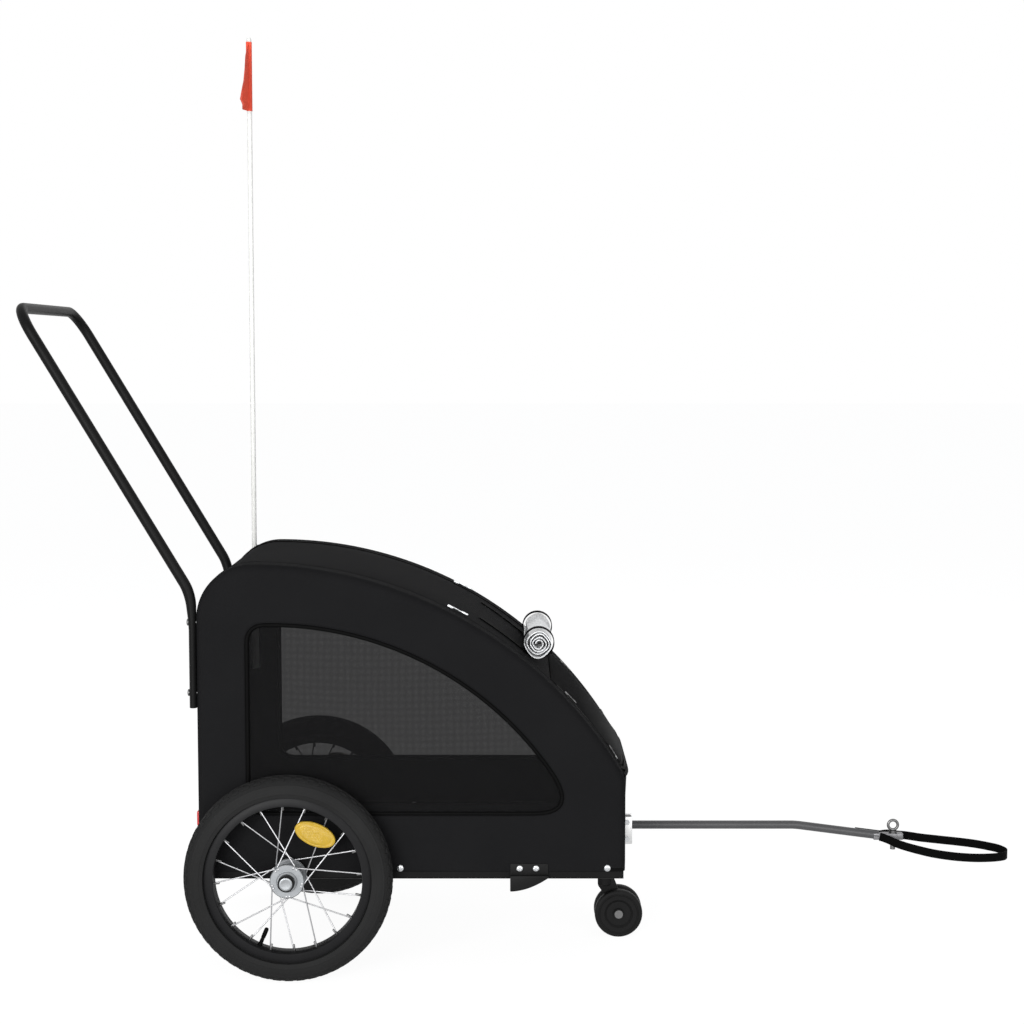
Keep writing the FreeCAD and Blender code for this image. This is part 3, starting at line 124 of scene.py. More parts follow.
# %% [markdown]
# ## Turned and swept shapes
#
# Wheels and hubs are turned on a lathe, and tubes, piping and welts keep one section all along a path.
# Blender's Screw modifier and its curves make both. Here the points are placed by the script, because it
# then knows where each one lies on the rubber or cloth, and can store that as the UV map for the patterns.


# %% Turning and sweeping
def lathe_piece(name, profile, middle, finish, steps=96, sharp=35, axis="Y", closed=True):
    """Turn a profile of (radius, place along the axis), in millimetres, about a line through middle."""
    outline = profile + profile[:1] if closed else profile
    points, uvs = [], []
    for radius, along in outline:
        for i in range(steps):
            turn = 2 * math.pi * i / steps
            across, up = radius * math.cos(turn), radius * math.sin(turn)
            way = {"Y": (across, along, up), "Z": (across, up, along)}[axis]
            points.append(middle + Vector(way) / 1000)
            uvs.append((radius * turn / 1000, along / 1000))
    return mesh_piece(name, points, grid_faces(len(outline), steps, True), finish, uvs, sharp)


def pipe_piece(name, path, section, finish, side=Vector((0, 1, 0)), closed=False, sharp=50):
    """Sweep a section of (side, up) millimetres along a path of frame points.
    section may be a list, or a function of how far along the path a point is, from 0 to 1."""
    count = len(path)
    points, uvs, run = [], [], 0.0
    for i, place in enumerate(path):
        before = path[(i - 1) % count] if closed or i > 0 else place
        after = path[(i + 1) % count] if closed or i < count - 1 else place
        along = (after - before).normalized()
        flat = (side - along * side.dot(along)).normalized()
        up = along.cross(flat)
        ring = section(i / (count - 1)) if callable(section) else section
        run += (place - path[i - 1]).length if i else 0.0
        for number, (a, b) in enumerate(ring):
            points.append(place + (flat * a + up * b) / 1000)
            uvs.append((run, number * 0.002))
        side = flat
    wide = len(ring)
    faces = grid_faces(count, wide, True)
    if closed:
        last = (count - 1) * wide
        faces += [(last + c, last + (c + 1) % wide, (c + 1) % wide, c) for c in range(wide)]
    else:
        faces += [tuple(range(wide)), tuple(range((count - 1) * wide, count * wide))]
    return mesh_piece(name, points, faces, finish, uvs, sharp)


def ring_section(radius, sides=14, flat=1.0):
    """A round section, or an oval one when flat is under 1."""
    turns = [2 * math.pi * i / sides for i in range(sides)]
    return [(radius * math.cos(t), radius * flat * math.sin(t)) for t in turns]


def rounded_path(corners, radii, steps=8):
    """Straight runs between corners, with an arc of the given radius (in metres) at each inner one."""
    path = [corners[0]]
    for i in range(1, len(corners) - 1):
        back = (corners[i - 1] - corners[i]).normalized()
        ahead = (corners[i + 1] - corners[i]).normalized()
        half = back.angle(ahead) / 2
        start = corners[i] + back * (radii[i - 1] / math.tan(half))
        middle = corners[i] + (back + ahead).normalized() * (radii[i - 1] / math.sin(half))
        arm, sweep = start - middle, math.pi - 2 * half
        spin = (-back).cross(ahead).normalized()
        path += [middle + Matrix.Rotation(sweep * s / steps, 3, spin) @ arm for s in range(steps + 1)]
    return path + [corners[-1]]


print("a round section has", len(ring_section(1.0)), "points")

# %% [markdown]
# ## Boxes and plates
#
# Plates and brackets start as boxes, or as a flat outline that is given thickness. A small bevel on each
# sharp edge catches the light as a pressed or moulded edge does. A Bevel modifier would look the same, but
# bmesh finishes the mesh at once, and several boxes can share it.


# %% Boxes and outlines
def block_mesh(work, low, high):
    """Add one box, between two corners of the frame, to a mesh that is being built."""
    size, middle = high - low, (low + high) / 2
    made = bmesh.ops.create_cube(work, size=1.0)["verts"]
    for vert in made:
        vert.co = Vector(v * s for v, s in zip(vert.co, size)) + middle
    return made


def finished_mesh(name, work, finish, bevel=0.0, segments=2, sharp=40):
    """Round the edges of a mesh that was built in bmesh, and make an object of it."""
    if bevel:
        edges = [e for e in work.edges if e.is_manifold and e.calc_face_angle() > 0.5]
        bmesh.ops.bevel(work, geom=edges, offset=bevel / 1000, segments=segments, profile=0.5, affect="EDGES")
    bmesh.ops.recalc_face_normals(work, faces=work.faces)
    return new_object(name, shaded(mesh_from(name, work), finish, sharp))


def block_piece(name, boxes, finish, bevel=0.8, segments=2):
    """Boxes with rounded edges, in one object."""
    work = bmesh.new()
    for low, high in boxes:
        block_mesh(work, low, high)
    return finished_mesh(name, work, finish, bevel, segments)


def prism_piece(name, outline, y_low, y_high, finish, bevel=0.8, segments=2):
    """An outline of (x, z) in the side view, given thickness across the trailer."""
    work = bmesh.new()
    face = work.faces.new([work.verts.new(spot(x, y_low, z)) for x, z in outline])
    pulled = bmesh.ops.extrude_face_region(work, geom=[face])["geom"]
    bmesh.ops.translate(work, verts=[g for g in pulled if isinstance(g, bmesh.types.BMVert)],
                        vec=Vector((0, (y_high - y_low) / 1000, 0)))
    return finished_mesh(name, work, finish, bevel, segments)


print("box and outline helpers ready")

# %% [markdown]
# ## Pieces on bodies
#
# A piece made of several shapes is joined into one object. It then rides on the CAD body it belongs to,
# so that it moves with that body's joint, and it takes the place of the plain solid that it dresses.


# %% Joining and mounting
def joined(name, objects):
    """Several objects made into one, with the first one's finish."""
    work = bmesh.new()
    finish = objects[0].data.materials[0]
    for obj in objects:
        work.from_mesh(obj.data)
        bpy.data.objects.remove(obj)
    mesh = mesh_from(name, work)
    mesh.materials.append(finish)
    return new_object(name, mesh)


def mount(obj, body, *nodes, slot=None):
    """Ride on a CAD body and stand in for these CAD nodes."""
    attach(obj, body)
    if nodes:
        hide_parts(*nodes)
    return obj


def paint_nodes(finish, *nodes):
    """Give CAD nodes that stay on show their finish."""
    for label in nodes:
        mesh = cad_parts[label].data
        mesh.materials.clear()
        mesh.materials.append(finish)


print(len(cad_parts), "CAD nodes to dress")

# %% [markdown]
# ## Repeating small things with Geometry Nodes
#
# Stitches, spoke nipples, tread blocks, zip teeth and screws are one small shape set many times. A node
# tree does that: it takes a cloud of marks, each with the direction that is outwards and the direction
# that runs along, puts the shape on each mark, and makes real faces of the copies. Copying by hand in
# Python would work too, but the tree keeps the shape, the marks and the size apart, so each can change alone.


# %% The tree that repeats a shape on marks
def make_repeat_tree():
    """Inputs for the marks, the shape, its size and its finish, and one output of real faces."""
    tree = bpy.data.node_groups.new("Repeat on marks", "GeometryNodeTree")
    inputs = (("Marks", "Geometry"), ("Shape", "Object"), ("Size", "Float"), ("Finish", "Material"))
    for label, kind in inputs:
        tree.interface.new_socket(label, in_out="INPUT", socket_type="NodeSocket" + kind)
    tree.interface.new_socket("Copies", in_out="OUTPUT", socket_type="NodeSocketGeometry")
    nodes, links = tree.nodes, tree.links
    entry, leave = nodes.new("NodeGroupInput"), nodes.new("NodeGroupOutput")
    shape = nodes.new("GeometryNodeObjectInfo")
    turn = nodes.new("FunctionNodeAxesToRotation")
    turn.primary_axis, turn.secondary_axis = "Z", "X"
    for label, socket in (("out", 0), ("along", 1)):
        way = nodes.new("GeometryNodeInputNamedAttribute")
        way.data_type = "FLOAT_VECTOR"
        way.inputs["Name"].default_value = label
        links.new(way.outputs["Attribute"], turn.inputs[socket])
    place = nodes.new("GeometryNodeInstanceOnPoints")
    real, paint = nodes.new("GeometryNodeRealizeInstances"), nodes.new("GeometryNodeSetMaterial")
    links.new(entry.outputs["Marks"], place.inputs["Points"])
    links.new(entry.outputs["Shape"], shape.inputs["Object"])
    links.new(shape.outputs["Geometry"], place.inputs["Instance"])
    links.new(turn.outputs["Rotation"], place.inputs["Rotation"])
    links.new(entry.outputs["Size"], place.inputs["Scale"])
    links.new(place.outputs["Instances"], real.inputs["Geometry"])
    links.new(real.outputs["Geometry"], paint.inputs["Geometry"])
    links.new(entry.outputs["Finish"], paint.inputs["Material"])
    links.new(paint.outputs["Geometry"], leave.inputs["Copies"])
    return tree


REPEAT = make_repeat_tree()
print(REPEAT.name, "has", len(REPEAT.nodes), "nodes")


# %% Setting a shape on marks
def repeat_piece(name, marks, shape, finish, size=1.0):
    """Set a small shape on marks of (place, outward way, way along) and keep the result as a plain mesh."""
    mesh = bpy.data.meshes.new(name)
    mesh.from_pydata([tuple(m[0]) for m in marks], [], [])
    for label, column in (("out", 1), ("along", 2)):
        store = mesh.attributes.new(label, "FLOAT_VECTOR", "POINT")
        store.data.foreach_set("vector", [v for m in marks for v in m[column]])
    obj = new_object(name, mesh)
    maker = obj.modifiers.new("Repeat", "NODES")
    maker.node_group = REPEAT
    sockets = {s.name: s.identifier for s in REPEAT.interface.items_tree if s.in_out == "INPUT"}
    maker[sockets["Shape"]] = shape
    maker[sockets["Size"]] = size
    maker[sockets["Finish"]] = finish
    bpy.context.view_layer.update()
    made = bpy.data.meshes.new_from_object(obj.evaluated_get(bpy.context.evaluated_depsgraph_get()))
    obj.modifiers.clear()
    obj.data = made
    made.name = name
    made.shade_smooth()
    made.set_sharp_from_angle(angle=math.radians(40))
    if not made.materials:
        made.materials.append(finish)
    bpy.data.objects.remove(shape)
    print(name, len(marks), "copies,", len(made.polygons), "faces")
    return obj


# %% Small shapes and rows of marks
def small_shape(name, length, width, height, rounding=0.3):
    """A little rounded bar, length along X and standing up from Z = 0, in millimetres."""
    work = bmesh.new()
    block_mesh(work, Vector((-length, -width, 0)) / 2000, Vector((length, width, 2 * height)) / 2000)
    edges = [e for e in work.edges if max(v.co.z for v in e.verts) > height / 2000]
    bmesh.ops.bevel(work, geom=edges, offset=rounding / 1000, segments=1, profile=0.5, affect="EDGES")
    return new_object(name, mesh_from(name, work))


def dome_shape(name, rings, sides=12):
    """A small turned shape about Z from rings of (radius, height), in millimetres."""
    turns = [2 * math.pi * i / sides for i in range(sides)]
    points = [Vector((r * math.cos(t), r * math.sin(t), z)) / 1000 for r, z in rings for t in turns]
    mesh = bpy.data.meshes.new(name)
    top = (len(rings) - 1) * sides
    ends = [tuple(range(top, top + sides)), tuple(reversed(range(sides)))]
    mesh.from_pydata([tuple(p) for p in points], [], grid_faces(len(rings), sides, True) + ends)
    return new_object(name, mesh)


def marks_along(path, spacing, out, closed=False):
    """Marks at an even spacing (millimetres) along a path. out is a vector or a function of a place."""
    ends = list(path) + ([path[0]] if closed else [])
    marks, left = [], spacing / 2000
    for a, b in zip(ends, ends[1:]):
        way, length = (b - a).normalized(), (b - a).length
        while left < length:
            place = a + way * left
            marks.append((place, out(place) if callable(out) else out, way))
            left += spacing / 1000
        left -= length
    return marks


print("small shapes and marks ready")

# %% [markdown]
# ## Finishes
#
# Each finish is a Principled shader with a procedural pattern: a weave for cloth, fine grain for powder
# coat, a drifting shade and roughness for metal. The patterns read the piece's own UV map where the threads
# have to follow the cloth, and Object coordinates elsewhere, so nothing slides when the camera moves.


# %% Helpers for shaders
def new_finish(name, colour, rough, metal=0.0, **sockets):
    """A material with one shader, whose even values sit on the shader's own sockets."""
    material = bpy.data.materials.new(name)
    material.use_nodes = True
    shader = material.node_tree.nodes["Principled BSDF"]
    shader.inputs["Base Color"].default_value = (*colour, 1)
    shader.inputs["Roughness"].default_value = rough
    shader.inputs["Metallic"].default_value = metal
    for label, value in sockets.items():
        shader.inputs[label.replace("_", " ")].default_value = value
    return material


def add_node(material, kind, settings=None, **links):
    """A node of a material, with its inputs set to numbers or joined to other nodes' outputs."""
    made = material.node_tree.nodes.new(kind)
    for label, value in (settings or {}).items():
        setattr(made, label, value)
    for label, value in links.items():
        socket = made.inputs[int(label[1:])] if label[1:].isdigit() else made.inputs[label.replace("_", " ")]
        if isinstance(value, bpy.types.NodeSocket):
            material.node_tree.links.new(value, socket)
        else:
            socket.default_value = value
    return made


def set_shader(material, label, output):
    """Join a pattern to one socket of the material's shader."""
    material.node_tree.links.new(output, material.node_tree.nodes["Principled BSDF"].inputs[label])


def place_of(material, kind="Object"):
    """The coordinates that a pattern reads."""
    return add_node(material, "ShaderNodeTexCoord").outputs[kind]


def noise_of(material, scale, detail=2.0, vector=None):
    """A cloudy pattern from 0 to 1."""
    place = vector or place_of(material)
    return add_node(material, "ShaderNodeTexNoise", Vector=place, Scale=scale, Detail=detail).outputs["Fac"]


def math_of(material, operation, a, b):
    """One sum on two patterns or numbers."""
    return add_node(material, "ShaderNodeMath", {"operation": operation}, i0=a, i1=b).outputs[0]


def ranged(material, value, low, high, **bounds):
    """A pattern stretched to run from low to high."""
    made = add_node(material, "ShaderNodeMapRange", Value=value, To_Min=low, To_Max=high, **bounds)
    return made.outputs["Result"]


print("shader helpers ready")

# %% [markdown]
# ### Patterns
#
# No real surface has one even colour. Two shades with a cloud between them give dye and wear, a fine bump
# gives grain, and crossed stripes give threads. Painted image textures could do it too, but a pattern from
# nodes has no edges and no size limit, and its scale is known in metres.


# %% Patterns that the finishes share
def two_tone(material, share, dark, light):
    """Let a pattern choose between two shades."""
    mix = add_node(material, "ShaderNodeMix", {"data_type": "RGBA"}, i0=share)
    mix.inputs[6].default_value, mix.inputs[7].default_value = (*dark, 1), (*light, 1)
    set_shader(material, "Base Color", mix.outputs[2])


def mottled(material, dark, light, scale):
    """Let the colour drift between two shades, as dirt, dye and wear do."""
    two_tone(material, noise_of(material, scale, 4.0), dark, light)


def raised(material, height, distance, strength=1.0):
    """Turn a pattern into bumps of a given height, in metres."""
    bump = add_node(material, "ShaderNodeBump", Strength=strength, Distance=distance, Height=height)
    set_shader(material, "Normal", bump.outputs["Normal"])


def bands(material, direction, pitch, vector):
    """Even stripes with a period of pitch metres."""
    return add_node(material, "ShaderNodeTexWave", {"bands_direction": direction}, Vector=vector,
                    Scale=math.pi / 10 / pitch).outputs["Fac"]


def woven(name, dark, light, pitch, rough=0.85, height=0.00012, **sockets):
    """Plain weave: warp and weft take turns on top, square by square."""
    material = new_finish(name, dark, rough, **sockets)
    surface = place_of(material, "UV")
    check = add_node(material, "ShaderNodeTexChecker", Vector=surface, Scale=1 / pitch).outputs["Fac"]
    warp, weft = bands(material, "X", pitch, surface), bands(material, "Y", pitch, surface)
    over = math_of(material, "MULTIPLY", warp, check)
    under = math_of(material, "MULTIPLY", weft, math_of(material, "SUBTRACT", 1.0, check))
    threads = math_of(material, "ADD", over, under)
    cloud = noise_of(material, 9.0, 6.0, surface)
    halves = [math_of(material, "MULTIPLY", part, 0.5) for part in (threads, cloud)]
    two_tone(material, math_of(material, "ADD", *halves), dark, light)
    raised(material, threads, height)
    return material


def netted(name, colour, pitch, least, most, rough=0.7, **sockets):
    """Fine mesh: it covers most where threads lie and least between them."""
    material = new_finish(name, colour, rough, **sockets)
    surface = place_of(material, "UV")
    threads = [bands(material, way, pitch, surface) for way in "XY"]
    cover = ranged(material, math_of(material, "MAXIMUM", *threads), least, most)
    set_shader(material, "Alpha", cover)
    return material


def grainy(material, scale, height, pattern="Noise", output="Fac"):
    """Cover a surface with fine grain of a height in metres."""
    grain = add_node(material, "ShaderNodeTex" + pattern, Vector=place_of(material), Scale=scale)
    raised(material, grain.outputs[output], height)


print("pattern helpers ready")

# %% [markdown]
# ### Cloth, thread and piping
#
# The cover is a coated black cloth, and black is hard to render: with a normal gloss it turns grey where it
# is seen at a low angle. So its colours are very dark and its gloss is low, and the weave does the rest.

# %% Cloth finishes
cover_cloth = woven("black cover cloth", (0.006, 0.006, 0.0065), (0.0115, 0.0115, 0.012), 0.0009,
                    Specular_IOR_Level=0.025)
seam_cloth = woven("black binding tape", (0.004, 0.004, 0.0045), (0.008, 0.008, 0.0085), 0.0006, 0.75,
                   Specular_IOR_Level=0.08)
webbing = woven("black webbing", (0.0012, 0.0012, 0.0012), (0.004, 0.004, 0.004), 0.0016, 0.7, 0.00025,
                Specular_IOR_Level=0.02)
mat_cloth = woven("quilted mat cloth", (0.08, 0.08, 0.083), (0.13, 0.13, 0.135), 0.0012,
                  Specular_IOR_Level=0.1)
flag_cloth = woven("orange flag cloth", (0.62, 0.052, 0.022), (0.8, 0.085, 0.035), 0.0006, 0.7, 0.00006)
window_net = netted("grey window mesh", (0.0045, 0.0045, 0.0047), 0.0014, 0.6, 0.9, Specular_IOR_Level=0.05)
thread = new_finish("black thread", (0.008, 0.008, 0.008), 0.6, Specular_IOR_Level=0.1)
mottled(thread, (0.006, 0.006, 0.006), (0.012, 0.012, 0.012), 900)
piping = new_finish("black piping", (0.0012, 0.0012, 0.0012), 0.6, Specular_IOR_Level=0.03)
mottled(piping, (0.0015, 0.0015, 0.0015), (0.003, 0.003, 0.003), 60)
print(len(bpy.data.materials), "finishes so far")

# %% [markdown]
# ### Coats, rubber and plating
#
# Steel tubes are powder coated, which leaves a fine orange peel. Rubber and moulded plastic are dull and
# grained. Plated parts are metal whose roughness drifts, so that they don't look like mirrors.

# %% Coats, rubber and plastic
powder_coat = new_finish("black powder coat", (0.003, 0.003, 0.003), 0.42, Specular_IOR_Level=0.06)
mottled(powder_coat, (0.004, 0.004, 0.004), (0.007, 0.007, 0.007), 30)
grainy(powder_coat, 1800.0, 0.00006)
rim_paint = new_finish("gloss black paint", (0.005, 0.005, 0.0053), 0.34, Specular_IOR_Level=0.07)
mottled(rim_paint, (0.008, 0.008, 0.0085), (0.013, 0.013, 0.0135), 25)
moulded = new_finish("moulded black plastic", (0.0045, 0.0045, 0.0045), 0.5, Specular_IOR_Level=0.07)
mottled(moulded, (0.006, 0.006, 0.006), (0.0095, 0.0095, 0.0095), 40)
grainy(moulded, 1400.0, 0.00008, "Voronoi", "Distance")
tyre_rubber = new_finish("tyre rubber", (0.0042, 0.0042, 0.0042), 0.62, Specular_IOR_Level=0.04)
mottled(tyre_rubber, (0.012, 0.012, 0.012), (0.018, 0.018, 0.018), 18)
grainy(tyre_rubber, 700.0, 0.0001)
grey_paint = new_finish("grey bar paint", (0.05, 0.05, 0.052), 0.38, Specular_IOR_Level=0.3)
mottled(grey_paint, (0.044, 0.044, 0.046), (0.06, 0.06, 0.062), 35)
print(len(bpy.data.materials), "finishes so far")


# %% Plating
def plated(name, dark, light, rough, scale):
    """Metal whose colour and roughness drift a little."""
    material = new_finish(name, light, rough, 1.0)
    mottled(material, dark, light, scale)
    cloud = noise_of(material, scale * 6)
    set_shader(material, "Roughness", ranged(material, cloud, rough * 0.75, rough * 1.3))
    return material


bright_zinc = plated("bright zinc", (0.4, 0.41, 0.42), (0.55, 0.56, 0.57), 0.3, 60)
dark_zinc = plated("dark zinc", (0.1, 0.1, 0.1), (0.16, 0.16, 0.16), 0.4, 60)
spoke_steel = plated("drawn spoke steel", (0.36, 0.36, 0.37), (0.46, 0.46, 0.47), 0.42, 90)
bare_plate = plated("bare plate", (0.5, 0.5, 0.5), (0.66, 0.66, 0.66), 0.45, 40)
dull_plate = plated("dull plate", (0.14, 0.14, 0.145), (0.2, 0.2, 0.205), 0.5, 40)
turned_alloy = plated("turned aluminium", (0.2, 0.21, 0.22), (0.29, 0.3, 0.31), 0.4, 80)
print(len(bpy.data.materials), "finishes so far")

# %% [markdown]
# ### Reflectors, pole, film and floor board
#
# A reflector has rows of small prisms behind a smooth face, which a square cell pattern stands in for. The
# clear film lets only some light through, since many layers lie on each other in the roll. The floor
# board's grain is a cloud that is stretched along the trailer.


# %% Lenses, rod, film and wood
def lens(name, colour, pitch):
    """Prismatic reflector plastic: small facets behind a glossy face."""
    material = new_finish(name, colour, 0.2, Specular_IOR_Level=0.3)
    mottled(material, [0.8 * c for c in colour], [min(1, 1.12 * c) for c in colour], 140)
    cells = add_node(material, "ShaderNodeTexVoronoi", {"distance": "CHEBYCHEV"},
                     Vector=place_of(material), Scale=1 / pitch, Randomness=0.0)
    raised(material, cells.outputs["Distance"], 0.0006)
    return material


amber_lens = lens("amber reflector", (0.42, 0.27, 0.022), 0.0022)
red_lens = lens("red reflector", (0.55, 0.035, 0.035), 0.0022)
white_rod = new_finish("white glass fibre", (0.66, 0.66, 0.64), 0.4)
mottled(white_rod, (0.6, 0.6, 0.58), (0.7, 0.7, 0.68), 50)
clear_film = new_finish("clear film", (0.92, 0.93, 0.94), 0.2, Transmission_Weight=0.2, IOR=1.3)
raised(clear_film, noise_of(clear_film, 60.0, 3.0), 0.0012, 0.6)
floor_wood = new_finish("dark plywood", (0.05, 0.038, 0.028), 0.6)
grain = add_node(floor_wood, "ShaderNodeMapping", Vector=place_of(floor_wood))
grain.inputs["Scale"].default_value = (3, 60, 60)
figure = noise_of(floor_wood, 3.0, 6.0, grain.outputs["Vector"])
two_tone(floor_wood, figure, (0.035, 0.026, 0.019), (0.075, 0.058, 0.042))
print(len(bpy.data.materials), "finishes")

# %% [markdown]
# ## Wheels
#
# Each wheel is a round tyre on a painted rim, laced to an alloy hub. Tyre, rim and hub are shapes of
# rotation, so a profile turned about the axle gives them in one go. The tread is a ring of small blocks,
# repeated by nodes. The spokes stay as the CAD made them, and only their nipples and heads are added.

# %% Tyres, rims and hubs
WHEEL_Y, WHEEL_Z = 230.0, 152.5
TYRE_MIDDLE, TYRE_SECTION = 130.5, 21.0


def tyre_profile():
    """Round carcass with two moulded lines on each wall, and a bead inside the rim."""
    profile = [(115.0, -10.5), (121.6, -11.0), (122.6, -14.2)]
    for step in range(-56, 57):
        angle = math.radians(2 * step)
        wall = abs(2 * step)
        line = 0.5 if 58 <= wall <= 62 or 92 <= wall <= 96 else 0.0
        radius = TYRE_SECTION + line
        profile.append((TYRE_MIDDLE + radius * math.cos(angle), radius * math.sin(angle)))
    return profile + [(122.6, 14.2), (121.6, 11.0), (115.0, 10.5)]


RIM = [(109.2, -14), (121, -14), (122, -13.4), (122, -11.6), (121.2, -11), (111.5, -11), (111.5, 11),
       (121.2, 11), (122, 11.6), (122, 13.4), (121, 14), (109.2, 14), (108.5, 13), (108.5, -13)]
HUB = [(11, -23), (14.2, -23), (15, -22.2), (15, -19.5), (24, -19.5), (25, -18.5), (25, -15.5), (24, -14.5),
       (16, -14.5), (15, -13), (15, 13), (16, 14.5), (24, 14.5), (25, 15.5), (25, 18.5), (24, 19.5),
       (15, 19.5), (15, 22.2), (14.2, 23), (11, 23), (11, 17), (8, 17), (8, -17), (11, -17)]
for side, sign in SIDES.items():
    body, middle = side + "_wheel", spot(0, sign * WHEEL_Y, WHEEL_Z)
    tyre = lathe_piece(side + "_round_tyre", tyre_profile(), middle, tyre_rubber, 128, 50)
    mount(tyre, body, side + "_tyre", slot="tyre_rubber")
    rim = lathe_piece(side + "_painted_rim", RIM, middle, rim_paint, 128)
    mount(rim, body, side + "_rim", slot="black_rim")
    hub = lathe_piece(side + "_turned_hub", HUB, middle, turned_alloy, 64)
    mount(hub, body, side + "_hub", slot="silver_hub")
    paint_nodes(spoke_steel, side + "_spokes")
    paint_nodes(bright_zinc, side + "_bearings")
print("tyres, rims and hubs turned")

# %% [markdown]
# ### Tread, nipples and spoke heads
#
# Five rows of low blocks go round each tyre, and every spoke ends in a nipple at the rim and a round head
# at the hub. Each kind is one small shape on many marks, so the node tree makes it in one go for a wheel.

# %% Tread blocks, spoke nipples and spoke heads
TREAD_ROWS = (-36, -18, 0, 18, 36)
TREAD_COUNT = 54
SPOKE_PHASE, SPOKE_TURN, SPOKE_LEAN, SPOKES = 3.9, 18.0, 60.0, 20
NIPPLE_R, HEAD_R, HEAD_Y = 108.7, 22.0, 19.4
ACROSS = Vector((0, 1, 0))


def wheel_marks(middle, angles, radius, across, lean=0.0):
    """Marks round a wheel, facing outwards along the radius and leaning towards its side."""
    marks = []
    for angle in angles:
        ray = Vector((math.cos(angle), 0, math.sin(angle)))
        out = (ray * math.cos(lean) + ACROSS * math.sin(lean)).normalized()
        marks.append((middle + (ray * radius + ACROSS * across) / 1000, out, ray.cross(ACROSS)))
    return marks


for side, sign in SIDES.items():
    body, middle = side + "_wheel", spot(0, sign * WHEEL_Y, WHEEL_Z)
    marks = []
    for row, tilt in enumerate(TREAD_ROWS):
        lean = math.radians(tilt)
        angles = [2 * math.pi * (i + row % 2 / 2) / TREAD_COUNT for i in range(TREAD_COUNT)]
        marks += wheel_marks(middle, angles, TYRE_MIDDLE + (TYRE_SECTION - 0.2) * math.cos(lean),
                             (TYRE_SECTION - 0.2) * math.sin(lean), lean)
    block = small_shape("tread_block", 11.5, 4.8, 1.2, 0.35)
    mount(repeat_piece(side + "_tread", marks, block, tyre_rubber), body, slot="tyre_rubber")
    nipples, heads = [], []
    for number in range(SPOKES):
        flange, pull = (1 if number % 2 == 0 else -1), (1 if number // 2 % 2 == 0 else -1)
        turn = math.radians(SPOKE_PHASE + SPOKE_TURN * number)
        across = sign * (flange * 3 + pull * 1.1)
        ray = Vector((-math.cos(turn), 0, -math.sin(turn)))
        nipples.append((middle + (ray * -NIPPLE_R + ACROSS * across) / 1000, ray, ACROSS))
        root = turn + math.radians(SPOKE_LEAN) * pull
        seat = Vector((HEAD_R * math.cos(root), sign * flange * HEAD_Y, HEAD_R * math.sin(root)))
        heads.append((middle + seat / 1000, ACROSS * sign * flange, Vector((1, 0, 0))))
    nipple = dome_shape("nipple", [(2.1, 0), (2.1, 1.6), (1.6, 2.0), (1.5, 8.0), (1.1, 8.6)])
    mount(repeat_piece(side + "_nipples", nipples, nipple, dark_zinc), body, slot="spoke_steel")
    head = dome_shape("spoke_head", [(1.7, 0), (1.7, 0.6), (1.1, 1.1), (0.4, 1.3)], 10)
    mount(repeat_piece(side + "_spoke_heads", heads, head, spoke_steel), body, slot="spoke_steel")

# %% [markdown]
# ## Quick release axles, reflectors and valves
#
# A black axle head with a bright push button in its middle holds each wheel on. An oval amber reflector
# is clipped between the spokes, and a rubber valve stands on the rim. The oval is made from rings of
# points that shrink towards a low dome, which is simpler than cutting one from a ball.

# %% Profiles of axle, button and reflector
AXLE = [(1.95, 118.3), (4.4, 118.3), (5, 118.9), (5, 253.3), (11.4, 253.3), (12, 253.9), (12, 262.6),
        (11.3, 263.3), (10.4, 263.3), (9.85, 262.8), (9.85, 255.3), (1.95, 255.3)]
BUTTON = [(0, 125.3), (1.9, 125.3), (1.9, 260.6), (9.3, 260.6), (9.8, 261.1), (9.8, 264.3), (9.3, 265),
          (8.4, 265.3), (6.5, 265.1), (0, 264.6)]
OVAL_RINGS = [(1.0, 0.0), (1.0, 0.55), (0.97, 0.72), (0.9, 0.8), (0.86, 0.72), (0.8, 0.72), (0.74, 0.88),
              (0.55, 0.96), (0.3, 1.0), (0.0, 1.0)]
OVAL_LONG, OVAL_SHORT, OVAL_TILT = 31.0, 16.5, math.radians(23)
VALVE_TURN = math.radians(246.9)
VALVE = [(108.4, 3.4), (106.5, 3.5), (104.5, 3.1), (96, 2.7), (95.5, 3.3), (94.7, 3.3), (94.2, 2.9),
         (93.4, 3.3), (92.6, 2.9), (91.8, 3.3), (82.5, 3.2), (80.6, 2.4), (80.3, 1.0)]


def oval_piece(name, middle, root, depth, finish, steps=64):
    """An oval dome that faces sideways, with its long axis tilted down towards the front."""
    points = []
    for share, rise in OVAL_RINGS:
        for i in range(steps):
            turn = 2 * math.pi * i / steps
            a, b = OVAL_LONG * share * math.cos(turn), OVAL_SHORT * share * math.sin(turn)
            x = a * math.cos(OVAL_TILT) + b * math.sin(OVAL_TILT)
            z = b * math.cos(OVAL_TILT) - a * math.sin(OVAL_TILT)
            points.append(Vector((middle.x + x / 1000, root + depth * rise, middle.z + z / 1000)))
    faces = grid_faces(len(OVAL_RINGS), steps, True) + [tuple(range(steps))]
    return mesh_piece(name, points, faces, finish)


print("profiles of", len(AXLE), len(BUTTON), "and", len(VALVE), "points")


# %% Axles, buttons, reflectors and valves
def valve_section(t):
    """The valve's section at a share of its length."""
    return ring_section(VALVE[round(t * (len(VALVE) - 1))][1], 20)


